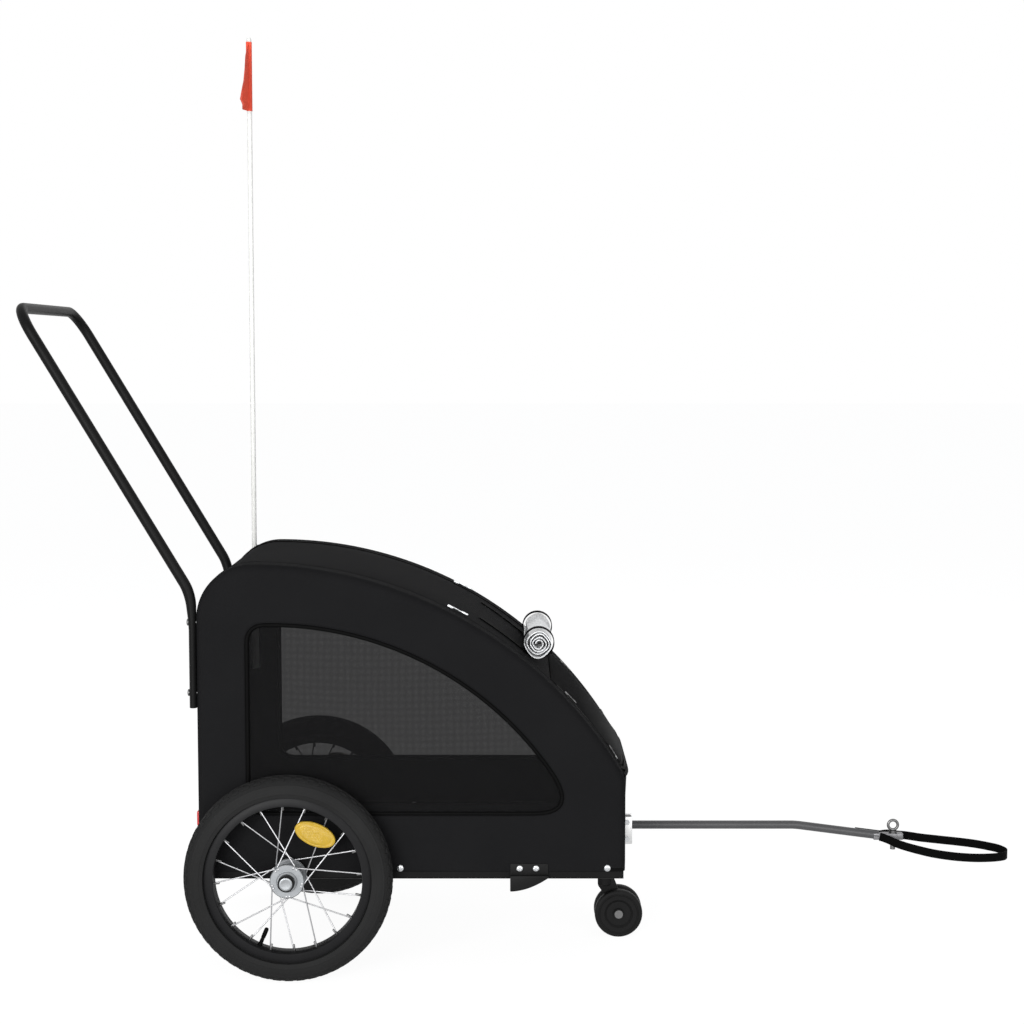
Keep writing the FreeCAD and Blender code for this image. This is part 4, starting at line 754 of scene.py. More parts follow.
valve_ray = Vector((math.cos(VALVE_TURN), 0, math.sin(VALVE_TURN)))
for side, sign in SIDES.items():
    body, middle = side + "_wheel", spot(0, 0, WHEEL_Z)
    axle = lathe_piece(side + "_axle_shaft", [(r, sign * y) for r, y in AXLE], middle, moulded, 48)
    mount(axle, "frame", side + "_axle", slot="axle_black")
    button = lathe_piece(side + "_push_button", [(r, sign * y) for r, y in BUTTON], middle, turned_alloy, 48)
    mount(button, side + "_button", side + "_release_button", slot="silver_hub")
    low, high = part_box(side + "_wheel_reflector")
    root, face = (low.y, high.y) if sign > 0 else (high.y, low.y)
    oval = oval_piece(side + "_amber_oval", (low + high) / 2, root, face - root, amber_lens)
    mount(oval, body, side + "_wheel_reflector", slot="amber_lens")
    path = [spot(0, sign * WHEEL_Y, WHEEL_Z) + valve_ray * reach / 1000 for reach, radius in VALVE]
    valve = pipe_piece(side + "_valve_stem", path, valve_section, piping)
    mount(valve, body, side + "_valve", slot="black_rubber")
print("axles, buttons, reflectors and valves made")

# %% [markdown]
# ## The cabin's cover
#
# The cover is sewn cloth pulled over two hoops. Seen from the side its edge is one long line: up the
# back, round a tight corner, and down a wide sweep to the front. The side cloth turns round that line
# and meets the roof cloth in a seam some way in. A box with bevels would give hard, even corners, so the
# side is a sheet of rings instead: from the window out to the edge, round the edge, and in to the seam.

# %% The line of the cabin's edge
HEM_Z, EDGE_ROUND = 154.5, 14.0
REAR_X, FRONT_X, TOP_Z = -135.0, 492.0, 607.0
CORNER_R, SILL_Z = 80.0, 291.0
ROOF_X = REAR_X + CORNER_R
ROOF_R = ((FRONT_X - ROOF_X) ** 2 + (TOP_Z - SILL_Z) ** 2) / (2 * (TOP_Z - SILL_Z))
ROOF_Z = TOP_Z - ROOF_R
SILL_ANGLE = math.asin((FRONT_X - ROOF_X) / ROOF_R)
DOOR_LENGTH = 178.0
DOOR_ANGLE = SILL_ANGLE - DOOR_LENGTH / ROOF_R


def roof_at(angle, radius=ROOF_R):
    """A point (x, z) of the roof's sweep, at an angle from its top."""
    return ROOF_X + radius * math.sin(angle), ROOF_Z + radius * math.cos(angle)


def bend(start, corner, end, steps=10):
    """A smooth corner between two points."""
    return [(1 - t) ** 2 * start + 2 * t * (1 - t) * corner + t * t * end for t in np.linspace(0, 1, steps)]


def edge_line():
    """Points (x, z) from the rear hem over the roof to the front hem, with the sill's corner rounded."""
    line = [(REAR_X, z) for z in np.linspace(HEM_Z, TOP_Z - CORNER_R, 26)[:-1]]
    line += [(ROOF_X - CORNER_R * math.cos(a), TOP_Z - CORNER_R + CORNER_R * math.sin(a))
             for a in np.linspace(0, math.pi / 2, 37)[:-1]]
    ease = EDGE_ROUND / ROOF_R
    line += [roof_at(a) for a in np.linspace(0, SILL_ANGLE - ease, 60)]
    start, corner = np.array(roof_at(SILL_ANGLE - ease)), np.array((FRONT_X, SILL_Z))
    line += [tuple(p) for p in bend(start, corner, corner - (0, EDGE_ROUND), 9)[1:]]
    return line + [(FRONT_X, z) for z in np.linspace(SILL_Z - EDGE_ROUND, HEM_Z, 10)[1:]]


EDGE = np.array(edge_line())


def outward(line):
    """Unit normals of an open line, pointing out of the cabin."""
    way = np.gradient(line, axis=0)
    way /= np.linalg.norm(way, axis=1)[:, None]
    return np.stack([-way[:, 1], way[:, 0]], axis=1)


EDGE_OUT = outward(EDGE)
print(len(EDGE), "points on the edge, roof radius", round(ROOF_R, 2), "mm")

# %% The line of the window
WINDOW_R, WINDOW_X, WINDOW_TOP = 496.0, -27.0, 520.0
WINDOW_REAR, WINDOW_SILL = -61.0, 241.0
WINDOW_ROUND, TIP_ROUND = 26.0, 2.3


def window_line(grow=0.0):
    """The window's edge as a closed line: straight rear and sill under an arc, with rounded corners."""
    radius, centre_z, turn = WINDOW_R + grow, WINDOW_TOP - WINDOW_R, WINDOW_ROUND + grow
    rear, sill = WINDOW_REAR - grow, WINDOW_SILL - grow
    first, last = math.asin((rear - WINDOW_X) / radius), math.acos((sill - centre_z) / radius)

    def arc_at(angle):
        return np.array((WINDOW_X + radius * math.sin(angle), centre_z + radius * math.cos(angle)))

    arc = [arc_at(a) for a in np.linspace(first + turn / radius, last - TIP_ROUND * turn / radius, 84)]
    low, top, tip = np.array((rear, sill)), arc_at(first), arc_at(last)
    rear_low, rear_top = low + (0, turn), top - (0, turn)
    sill_rear, sill_tip = low + (turn, 0), tip - (TIP_ROUND * turn, 0)
    loop = bend(sill_rear, low, rear_low) + list(np.linspace(rear_low, rear_top, 22)[1:-1])
    loop += bend(rear_top, top, arc[0]) + arc[1:-1] + bend(arc[-1], tip, sill_tip)
    return np.array(loop + list(np.linspace(sill_tip, sill_rear, 40)[1:-1]))


WINDOW = window_line()
print(len(WINDOW), "points round the window")

# %% [markdown]
# ### Side cloth
#
# Both the edge and the window are seen whole from a point in the middle of the window, so rays from that
# point pair them up. Rings between the pairs make an even sheet, and the last rings roll round the hoop.

# %% Rings of the side cloth
HEART = np.array((150.0, 340.0))
PANEL_Y, ROLL_R, SEAM_Y, CLOTH = 200.0, 11.0, 155.0, 0.8
PANEL_RINGS, ROLL_STEPS, WRAP_STEPS = 14, 6, 12


def reach_of(line, angles):
    """How far a closed line lies from the heart at each angle."""
    away = line - HEART
    turn = np.arctan2(away[:, 1], away[:, 0])
    order = np.argsort(turn)
    turn, far = turn[order], np.linalg.norm(away, axis=1)[order]
    return np.interp(angles, np.concatenate([turn - 2 * np.pi, turn, turn + 2 * np.pi]), np.tile(far, 3))


HEM_COUNT = 62
hem_run = np.stack([np.linspace(FRONT_X, REAR_X, HEM_COUNT + 2)[1:-1], np.full(HEM_COUNT, HEM_Z)], axis=1)
LOOP = np.concatenate([EDGE, hem_run])
LOOP_OUT = np.concatenate([EDGE_OUT, np.tile((0.0, -1.0), (HEM_COUNT, 1))])
# 1 where the cloth turns round the hoop, 0 along the hem
TURNED = np.concatenate([np.ones(len(EDGE)), np.zeros(HEM_COUNT)])
loop_angles = np.arctan2(LOOP[:, 1] - HEART[1], LOOP[:, 0] - HEART[0])
window_reach = reach_of(window_line(2.0), loop_angles)
INNER = HEART + window_reach[:, None] * np.stack([np.cos(loop_angles), np.sin(loop_angles)], axis=1)
RIM_LINE = LOOP - LOOP_OUT * (ROLL_R * TURNED)[:, None]


def ripple(x, z):
    """Low, slow waves in stretched cloth, in millimetres."""
    return 0.55 * math.sin(x / 47 + 1.3) * math.sin(z / 61) + 0.35 * math.sin((x + 1.7 * z) / 83)


def side_rings():
    """Rings of (x, y, z) and flat cloth places (u, v) for the left side, from the window to the seam."""
    rings = []
    for k in range(PANEL_RINGS + 1):
        t = k / PANEL_RINGS
        flat = INNER * (1 - t) + RIM_LINE * t
        swell = math.sin(math.pi * t)
        rings.append(([(x, PANEL_Y + swell * (0.9 + ripple(x, z)), z) for x, z in flat], flat))
    for k in range(1, ROLL_STEPS + 1):
        a = math.pi / 2 * k / ROLL_STEPS
        flat = RIM_LINE + LOOP_OUT * (ROLL_R * math.sin(a) * TURNED)[:, None]
        y = PANEL_Y - ROLL_R * (1 - math.cos(a)) * TURNED - (1 - TURNED) * k * 0.15
        rings.append((list(zip(flat[:, 0], y, flat[:, 1])), RIM_LINE + LOOP_OUT * (ROLL_R * a)))
    for k in range(1, WRAP_STEPS + 1):
        t = k / WRAP_STEPS
        y = y + (SEAM_Y - PANEL_Y + ROLL_R) / WRAP_STEPS * TURNED
        lift = LOOP + (1 - TURNED)[:, None] * np.array((0.0, 8.0 * t))
        unrolled = LOOP_OUT * (ROLL_R * math.pi / 2 + t * (PANEL_Y - ROLL_R - SEAM_Y))
        rings.append((list(zip(lift[:, 0], y, lift[:, 1])), RIM_LINE + unrolled))
    return rings


RINGS = side_rings()
print(len(RINGS), "rings of", len(LOOP), "points")


# %% Side panels
def solidify(obj, thickness, offset=-1.0):
    """Give a sheet its thickness. The faces already point outwards, so it grows inwards."""
    wall = obj.modifiers.new("Thickness", "SOLIDIFY")
    wall.thickness, wall.offset = thickness / 1000, offset
    return obj


POLE_LOW, POLE_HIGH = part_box("flag_pole")
POLE = (POLE_LOW + POLE_HIGH) / 2
POLE_HOLE = 4.7


def beside_pole(mesh, face):
    """Whether a face of the roof lies where the flag pole comes through."""
    corners = [mesh.vertices[i].co for i in face.vertices]
    near = any(math.hypot(p.x - POLE.x, p.y - POLE.y) < POLE_HOLE / 1000 for p in corners)
    return near and face.center.z > 0.5


def cut_faces(obj, numbers):
    """Take faces out of a sheet."""
    work = bmesh.new()
    work.from_mesh(obj.data)
    work.faces.ensure_lookup_table()
    bmesh.ops.delete(work, geom=[work.faces[i] for i in numbers], context="FACES")
    work.to_mesh(obj.data)
    work.free()


for side, sign in SIDES.items():
    points = [spot(x, sign * y, z) for ring, flat in RINGS for x, y, z in ring]
    uvs = [(u / 1000, v / 1000) for ring, flat in RINGS for u, v in flat]
    faces = grid_faces(len(RINGS), len(LOOP), True)
    if sign < 0:
        faces = [f[::-1] for f in faces]
    panel = mesh_piece(side + "_side_cloth", points, faces, cover_cloth, uvs, 60, merge=False)
    if side == "left":
        cut_faces(panel, [f.index for f in panel.data.polygons if beside_pole(panel.data, f)])
    mount(solidify(panel, CLOTH), "frame", side + "_side_panel", slot="cover_fabric")

# %% [markdown]
# ### Window mesh and its piping
#
# The window is a see-through net sewn in behind a round cord of piping. The net is a fan of rings that
# sinks a little towards its middle. Its holes are in the material: real ones would need millions of faces.

# %% Windows
NET_RINGS = 12
for side, sign in SIDES.items():
    points, uvs = [], []
    middle = WINDOW.mean(axis=0)
    for k in range(NET_RINGS + 1):
        t = k / NET_RINGS
        for x, z in window_line(3.0) * (1 - t) + middle * t:
            points.append(spot(x, sign * (PANEL_Y - 0.6 - 3.0 * math.sin(math.pi / 2 * t)), z))
            uvs.append((x / 1000, z / 1000))
    faces = grid_faces(NET_RINGS + 1, len(WINDOW), True)
    net = mesh_piece(side + "_window_net", points, faces, window_net, uvs, 60)
    mount(net, "frame", side + "_window_mesh", slot="window_mesh")
    cord_path = [spot(x, sign * (PANEL_Y + 0.4), z) for x, z in WINDOW]
    cord = pipe_piece(side + "_window_piping", cord_path, ring_section(3.0, 12), piping, closed=True)
    mount(cord, "frame", slot="cover_fabric")
    net_area = sum(p.area for p in net.data.polygons)
print("window net", round(net_area, 4), "square metres")

# %% [markdown]
# ### Roof, rear wall, front wall and door
#
# One strip of cloth covers the back and the roof as far as the door. Pulled over the cross tubes it stands
# a little proud, which a grid of points can do directly: each point is raised along the strip's own outward
# way. The door bulges more, since its mesh is stiff. A cloth simulation would find such shapes too, but they
# are slight and known, so they are written down as lifts.


# %% Roof and rear wall
def strip_piece(name, line, half_width, finish, lift, columns=25):
    """A sheet along a line of (x, z), across the trailer, raised by lift(run, share across)."""
    out = outward(line)
    run = np.concatenate([[0], np.cumsum(np.linalg.norm(np.diff(line, axis=0), axis=1))])
    points, uvs = [], []
    for i, (x, z) in enumerate(line):
        for c in range(columns):
            across = 2 * c / (columns - 1) - 1
            rise = lift(run[i], across)
            points.append(spot(x + out[i, 0] * rise, half_width * across, z + out[i, 1] * rise))
            uvs.append((half_width * across / 1000, run[i] / 1000))
    faces = [f[::-1] for f in grid_faces(len(line), columns)]
    obj = mesh_piece(name, points, faces, finish, uvs, 60, merge=False)
    return solidify(obj, CLOTH), run[-1]


# Points of the edge line before the roof's sweep, and on it
REAR_COUNT, SWEEP_COUNT = 25 + 36, 60
sweep_angles = [math.atan2(x - ROOF_X, z - ROOF_Z) for x, z in EDGE[REAR_COUNT:REAR_COUNT + SWEEP_COUNT]]
roof_count = REAR_COUNT + int(np.searchsorted(sweep_angles, DOOR_ANGLE))
roof_line = np.concatenate([EDGE[:roof_count], [roof_at(DOOR_ANGLE)]])
STRIP_Y, TOP_SPAN = SEAM_Y + 2, 420.0
REAR_RUN = TOP_Z - CORNER_R - HEM_Z
ROOF_START = REAR_RUN + CORNER_R * math.pi / 2


def roof_lift(run, across):
    """Cloth pulled over the tubes stands a little proud in the middle of the rear wall and of the roof."""
    past = run - ROOF_START
    rise = 1.8 * math.sin(math.pi * min(run / REAR_RUN, 1))
    rise += 3.6 * math.sin(math.pi * past / TOP_SPAN) if 0 < past < TOP_SPAN else 0.0
    return rise * (1 - across ** 4) - 0.4


roof, roof_run = strip_piece("roof_cloth", roof_line, STRIP_Y, cover_cloth, roof_lift)
mount(roof, "frame", "roof_cover", slot="cover_fabric")
print("roof strip", round(roof_run), "mm long")

# %% Door
door_line = np.array([roof_at(a) for a in np.linspace(DOOR_ANGLE + 0.002, SILL_ANGLE - 0.002, 40)])
DOOR_HALF = 148.5


def foot_lift(share, across):
    """The door's lower end stands out to meet the front wall's upper edge."""
    return 7.0 * max(0, 2 * share - 1) ** 1.5 * (1 - abs(across) ** 8)


def door_lift(run, across):
    """The stiff mesh stands proud in the middle of the door."""
    share = min(run / (DOOR_LENGTH - 1), 1)
    bulge = 6.0 * math.sin(math.pi * share) ** 0.7 * (1 - abs(across) ** 3)
    return bulge + foot_lift(share, across) + 0.2


# Dull at the hinge, with a faint sheen towards the sill
door_mesh = netted("black door mesh", (0.005, 0.005, 0.0053), 0.0014, 0.96, 1.0, 0.75,
                   Specular_IOR_Level=0.014)
run_out = add_node(door_mesh, "ShaderNodeSeparateXYZ", Vector=place_of(door_mesh, "UV")).outputs["Y"]
set_shader(door_mesh, "Roughness", ranged(door_mesh, run_out, 0.85, 0.58, From_Min=0.05, From_Max=0.15))
door, door_run = strip_piece("door_cloth", door_line, DOOR_HALF, door_mesh, door_lift)
mount(door, "door", "front_door", slot="door_mesh")
print("door", round(door_run), "mm long")

# %% Front wall
BRACKET_TOP, BRACKET_HALF = 0.185, 0.0236


def front_lift(run, across):
    """The front wall leans out towards its upper edge, where the door is zipped to it."""
    return 8.0 * max(0, 1 - run / 100) ** 0.6 * (1 - abs(across) ** 8) - 0.5


front_heights = [SILL_Z - 2, *np.linspace(SILL_Z - 12, 191, 5), *np.linspace(190.5, HEM_Z, 6)]
front_line = np.array([(FRONT_X, z) for z in front_heights])
front, front_run = strip_piece("front_cloth", front_line, STRIP_Y, cover_cloth, front_lift, 41)
behind_bracket = [f.index for f in front.data.polygons
                  if f.center.z < BRACKET_TOP and abs(f.center.y) < BRACKET_HALF]
cut_faces(front, behind_bracket)
mount(front, "frame", "front_panel", slot="cover_fabric")
print("front wall", round(front_run), "mm high,", len(behind_bracket), "faces cut out behind the bracket")

# %% [markdown]
# ### Seams and stitches
#
# A thin welt closes each seam between side and roof, with two rows of stitches beside it. Two more rows go
# round each window and one along the hem. A bump could fake them, but then the mesh would have no stitches,
# so each is a small bar on a mark, and the node tree sets some thousands of them.

# %% Seams and stitches
seam_line = np.concatenate([EDGE[:roof_count], [roof_at(a) for a in np.linspace(DOOR_ANGLE, SILL_ANGLE, 20)]])
STITCH_SPACING = 4.0


def roof_out(place):
    """The outward way of the cabin's edge nearest to a place."""
    gap = np.linalg.norm(EDGE - np.array((place.x * 1000 - AXLE_X, place.z * 1000)), axis=1)
    x, z = EDGE_OUT[int(np.argmin(gap))]
    return Vector((x, 0, z))


stitch_marks = []
for side, sign in SIDES.items():
    seam_path = [spot(x, sign * SEAM_Y, z) for x, z in seam_line]
    welt = pipe_piece(side + "_seam_welt", seam_path, ring_section(1.3, 8), piping)
    mount(welt, "frame", slot="cover_fabric")
    for y in (SEAM_Y + 5, SEAM_Y + 9):
        row = [spot(x, sign * y, z) for x, z in seam_line]
        stitch_marks += marks_along(row, STITCH_SPACING, roof_out)
    face = Vector((0, sign, 0))
    for grow in (7.0, 10.0):
        row = [spot(x, sign * (PANEL_Y + 0.25), z) for x, z in window_line(grow)]
        stitch_marks += marks_along(row, STITCH_SPACING, face, closed=True)
    hem_row = [spot(x, sign * PANEL_Y, HEM_Z + 6) for x in np.linspace(REAR_X + 8, FRONT_X - 8, 60)]
    stitch_marks += marks_along(hem_row, STITCH_SPACING, face)
stitch = small_shape("stitch", 2.9, 0.6, 0.35, 0.15)
mount(repeat_piece("cover_stitches", stitch_marks, stitch, thread), "frame", slot="cover_fabric")

# %% [markdown]
# ### The door's zip
#
# A zip holds the door down both sides and along the sill: a tape, a row of teeth and two sliders a side.
# Strips of binding lie under the hinge and the jambs, so that no light comes through beside the door.
# A tape follows a path and lies flat on a curved surface, so each of its sections is turned to face outwards.

# %% The zip's path
ZIP_Y = DOOR_HALF - 1.5
zip_line = [roof_at(a, ROOF_R + 0.6) for a in np.linspace(DOOR_ANGLE + 0.02, SILL_ANGLE - 0.02, 30)]
sill_run = []
for y in np.linspace(DOOR_HALF - 10, -DOOR_HALF + 10, 40):
    x, z = roof_at(SILL_ANGLE - 0.012, ROOF_R + 0.6 + foot_lift(0.96, y / DOOR_HALF))
    sill_run.append(spot(x, y, z))
zip_path = [spot(x, ZIP_Y, z) for x, z in zip_line] + sill_run
zip_path += [spot(x, -ZIP_Y, z) for x, z in reversed(zip_line)]


def zip_out(place):
    """The outward way of the roof's sweep at a place."""
    angle = math.atan2(place.x * 1000 - AXLE_X - ROOF_X, place.z * 1000 - ROOF_Z)
    return Vector((math.sin(angle), 0, math.cos(angle)))


def ribbon_piece(name, path, out, half, thick, finish):
    """A flat band along a path, lying on the surface whose outward way is out(place)."""
    points, uvs, run = [], [], 0.0
    for i, place in enumerate(path):
        along = (path[min(i + 1, len(path) - 1)] - path[max(i - 1, 0)]).normalized()
        up = out(place) if callable(out) else out
        across = along.cross(up).normalized()
        run += (place - path[i - 1]).length if i else 0.0
        for a, b in ((-half, -thick), (half, -thick), (half, thick), (-half, thick)):
            points.append(place + (across * a + up * b) / 1000)
            uvs.append((a / 1000, run))
    faces = grid_faces(len(path), 4, True) + [(0, 1, 2, 3), tuple(range(4 * len(path) - 4, 4 * len(path)))]
    return mesh_piece(name, points, faces, finish, uvs, 40)


print("zip path of", len(zip_path), "points")

# %% Tapes and teeth
TAPE_HALF, TAPE_THICK = 8.0, 0.35
hinge_x, hinge_z = roof_at(DOOR_ANGLE, ROOF_R - 1.6)
hinge_path = [spot(hinge_x, y, hinge_z) for y in np.linspace(-STRIP_Y, STRIP_Y, 30)]
hinge_tape = ribbon_piece("hinge_tape", hinge_path, zip_out, TAPE_HALF, TAPE_THICK, seam_cloth)
mount(hinge_tape, "frame", slot="cover_fabric")
for side, sign in SIDES.items():
    jamb = [roof_at(a, ROOF_R - 1.6) for a in np.linspace(DOOR_ANGLE, SILL_ANGLE - 0.004, 40)]
    jamb_path = [spot(x, sign * (SEAM_Y - 4), z) for x, z in jamb]
    jamb_tape = ribbon_piece(side + "_jamb_tape", jamb_path, zip_out, TAPE_HALF, TAPE_THICK, seam_cloth)
    mount(jamb_tape, "frame", slot="cover_fabric")
zip_tape = ribbon_piece("door_zip_tape", zip_path, zip_out, TAPE_HALF - 1, TAPE_THICK, piping)
mount(zip_tape, "door", slot="door_mesh")
tooth = small_shape("zip_tooth", 1.1, 3.6, 0.9, 0.3)
teeth = repeat_piece("door_zip_teeth", marks_along(zip_path, 2.0, zip_out), tooth, piping)
mount(teeth, "door", slot="door_mesh")

# %% [markdown]
# ### Zip sliders
#
# A slider is a small cast body with a pull that ends in an open loop. It is built flat from six boxes and
# then turned to lie on the cloth, which is easier than to model it in place.


# %% Zip sliders
def slider_piece(name, place, out, along, finish, size=1.0):
    """A zip slider: a small rounded body with a pull that ends in an open loop."""
    work = bmesh.new()
    block_mesh(work, Vector((-0.0045, -0.0032, 0.0004)), Vector((0.0045, 0.0032, 0.0042)))
    block_mesh(work, Vector((0.0035, -0.0016, 0.0028)), Vector((0.019, 0.0016, 0.0042)))
    for low, high in (((0.018, -0.004), (0.0195, 0.004)), ((0.0275, -0.004), (0.029, 0.004)),
                      ((0.0185, -0.0045), (0.0285, -0.0028)), ((0.0185, 0.0028), (0.0285, 0.0045))):
        block_mesh(work, Vector((*low, 0.0026)), Vector((*high, 0.0046)))
    across = out.cross(along).normalized()
    turn = Matrix((along, across, out)).transposed().to_4x4() @ Matrix.Scale(size, 4)
    bmesh.ops.transform(work, matrix=Matrix.Translation(place) @ turn, verts=work.verts)
    return finished_mesh(name, work, finish, 0.7, 2)


for side, sign in SIDES.items():
    for level, angle in (("upper", DOOR_ANGLE + 0.05), ("lower", SILL_ANGLE - 0.04)):
        x, z = roof_at(angle, ROOF_R + 0.8)
        place = spot(x, sign * ZIP_Y, z)
        out = zip_out(place)
        along = Vector((out.z, 0, -out.x)) * (1 if level == "upper" else -1)
        slider = slider_piece(side + "_" + level + "_door_slider", place, out, along, dark_zinc, 0.7)
        mount(slider, "door", slot="zinc")

SEAM_SLIDER = math.asin((233 - ROOF_X) / ROOF_R)
for side, sign in SIDES.items():
    x, z = roof_at(SEAM_SLIDER, ROOF_R + 0.9)
    place = spot(x, sign * (SEAM_Y - 4), z)
    out = zip_out(place)
    along = Vector((out.z, sign * 0.12, -out.x)).normalized()
    slider = slider_piece(side + "_seam_slider", place, out, along, bright_zinc)
    mount(slider, "frame", slot="zinc")
print("two seam sliders and four door sliders made")

# %% [markdown]
# ### Hem binding and sill welt
#
# A narrow binding closes the cloth's cut edge along the hem, and a round welt finishes the front wall's
# upper edge where the door meets it. Both follow a path, so the helpers for tapes and pipes make them.

# %% Hem binding and sill welt
for side, sign in SIDES.items():
    along_hem = np.linspace(REAR_X + 3, FRONT_X - 3, 60)
    edge_path = [spot(x, sign * (PANEL_Y + 0.35), HEM_Z + 2.6) for x in along_hem]
    binding = ribbon_piece(side + "_hem_binding", edge_path, Vector((0, sign, 0)), 2.5, 0.3, piping)
    mount(binding, "frame", slot="cover_fabric")
welt_path = []
for y in np.linspace(-SEAM_Y, SEAM_Y, 60):
    welt_path.append(spot(FRONT_X - 0.6 + 7.4 * (1 - abs(y / SEAM_Y) ** 8), y, SILL_Z - 3.5))
sill_welt = pipe_piece("sill_welt", welt_path, ring_section(3.2, 12), seam_cloth, side=Vector((0, 0, 1)))
mount(sill_welt, "frame", slot="cover_fabric")
print("hem bound, sill welt of", len(welt_path), "points")

# %% [markdown]
# ## Frame
#
# Rails, hoops and cross tubes are plain tubes, and the CAD solids already have their exact shape. They stay
# on show as they are and only get their finish, with the floor board, the bolts and the pin.

# %% Frame finishes
for side in SIDES:
    paint_nodes(powder_coat, side + "_base_rail", side + "_side_hoop", side + "_axle_sleeve")
paint_nodes(powder_coat, "base_cross_rails", "axle_beam", "hoop_cross_tubes", "caster_socket")
paint_nodes(floor_wood, "floor_board")
paint_nodes(bright_zinc, "tow_bolts")
paint_nodes(dark_zinc, "hitch_pin", "caster_axle", "caster_stem")
print("frame painted")

# %% [markdown]
# ## Floor mat
#
# The mat is a thin pad of cloth over foam, quilted in squares. Its top is a grid of points whose height
# follows a product of sines, which rises in each square and falls to the stitched lines between them. A
# displacement would give the same form, but only at render time.

# %% Floor mat
mat_low, mat_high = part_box("floor_mat")
MAT_COLUMNS, MAT_ROWS, QUILT = 110, 70, 0.058


def mat_piece():
    """A closed pad: a quilted top whose edges roll down to a flat underside."""
    points, uvs = [], []
    for r in range(MAT_ROWS):
        for c in range(MAT_COLUMNS):
            u, v = 2 * c / (MAT_COLUMNS - 1) - 1, 2 * r / (MAT_ROWS - 1) - 1
            x = mat_low.x + (mat_high.x - mat_low.x) * (u + 1) / 2
            y = mat_low.y + (mat_high.y - mat_low.y) * (v + 1) / 2
            edge = min(1, 9 * (1 - abs(u)), 6 * (1 - abs(v)))
            crown = math.sqrt(max(0, 1 - (1 - edge) ** 2))
            puff = abs(math.sin(math.pi * x / QUILT) * math.sin(math.pi * y / QUILT)) ** 0.35
            points.append(Vector((x, y, mat_low.z + (mat_high.z - mat_low.z) * crown * (0.72 + 0.28 * puff))))
            uvs.append((x, y))
    top = len(points)
    points += [Vector((p.x, p.y, mat_low.z + 0.0004)) for p in points]
    faces = grid_faces(MAT_ROWS, MAT_COLUMNS)
    faces += [tuple(top + i for i in reversed(f)) for f in faces]
    rim = list(range(MAT_COLUMNS)) + [r * MAT_COLUMNS + MAT_COLUMNS - 1 for r in range(1, MAT_ROWS)]
    rim += list(range(MAT_ROWS * MAT_COLUMNS - 2, (MAT_ROWS - 1) * MAT_COLUMNS - 1, -1))
    rim += [r * MAT_COLUMNS for r in range(MAT_ROWS - 2, 0, -1)]
    faces += [(a, b, b + top, a + top) for a, b in zip(rim, rim[1:] + rim[:1])]
    return mesh_piece("quilted_mat", points, faces, mat_cloth, uvs + uvs, 60)


mat = mount(mat_piece(), "frame", "floor_mat", slot="mat_fabric")
print("mat", len(mat.data.polygons), "faces")

# %% [markdown]
# ## Push handle
#
# The handle is one bent tube whose feet are pressed flat where they are bolted to the rear wall. A sweep
# along a path gives the tube, and since its section may change on the way, it gives the flat feet too.

# %% Push handle
LEG_X, FOOT_Z, BEND_Z = -143.3, 397.0, 565.0
BAR_X, BAR_Z, HANDLE_Y = -389.7, 980.0, 190.5
TUBE_R, FLAT_R, SPREAD = 8.0, 5.6, 0.9
corners = [spot(LEG_X, HANDLE_Y, FOOT_Z), spot(LEG_X, HANDLE_Y, BEND_Z), spot(BAR_X, HANDLE_Y, BAR_Z),
           spot(BAR_X, -HANDLE_Y, BAR_Z), spot(LEG_X, -HANDLE_Y, BEND_Z), spot(LEG_X, -HANDLE_Y, FOOT_Z)]
bent = rounded_path(corners, [0.07, 0.045, 0.045, 0.07], 12)
handle_path = [bent[0].lerp(bent[1], t) for t in np.linspace(0, 1, 14)[:-1]] + bent[1:-2]
handle_path += [bent[-2].lerp(bent[-1], t) for t in np.linspace(0, 1, 14)]


def leg_flat(place):
    """How far a foot is pressed flat: wholly below the bend, not at all above it."""
    t = max(0.0, min(1.0, (BEND_Z + 5 - place.z * 1000) / 60))
    return t * t * (3 - 2 * t)


handle_path = [p + Vector(((TUBE_R - FLAT_R) / 1000 * leg_flat(p), 0, 0)) for p in handle_path]


def handle_section(t):
    """Round in the bends, and wider and flatter towards the feet."""
    flat = leg_flat(handle_path[round(t * (len(handle_path) - 1))])
    return ring_section(TUBE_R + SPREAD * flat, 24, 1 - flat * (1 - FLAT_R / (TUBE_R + SPREAD)))


handle = pipe_piece("bent_handle", handle_path, handle_section, powder_coat)
mount(handle, "frame", "push_handle", slot="black_frame")
print("handle path of", len(handle_path), "points")

# %% [markdown]
# ## Screws
#
# Round headed screws hold the cover's hem to the rails, and dome headed bolts the handle to the wall. Each
# is a small turned shape from a few rings, set on marks by the node tree: ten screws and four bolts.

# %% Screws and bolt caps
SCREW_Z = 159.5
screw_marks = []
for side, sign in SIDES.items():
    for x, proud in ((-127, 0), (161.5, 0), (466, 0), (337, 3), (361, 3)):
        place = spot(x, sign * (PANEL_Y + proud + 0.2), SCREW_Z)
        screw_marks.append((place, ACROSS * sign, Vector((0.8, 0, 0.6))))
screw = dome_shape("screw", [(5.2, -0.6), (5.2, 0.6), (4.8, 1.5), (3.7, 2.2), (2.1, 2.5), (1.8, 1.2)], 20)
mount(repeat_piece("hem_screws", screw_marks, screw, bright_zinc), "frame", "body_screws", slot="zinc")
bolt_marks = [(spot(LEG_X + TUBE_R - 2 * FLAT_R, sign * HANDLE_Y, z), Vector((-1, 0, 0)), Vector((0, 0, 1)))
              for sign in SIDES.values() for z in (419, 523)]
bolt = dome_shape("bolt", [(1.0, -34), (4.6, -34), (5.0, -33.4), (5.0, -30.2), (2.9, -29.8), (2.9, 0),
                           (5.2, 0), (5.2, 1.4), (4.6, 2.2), (2.8, 2.8), (1.0, 3.0)], 20)
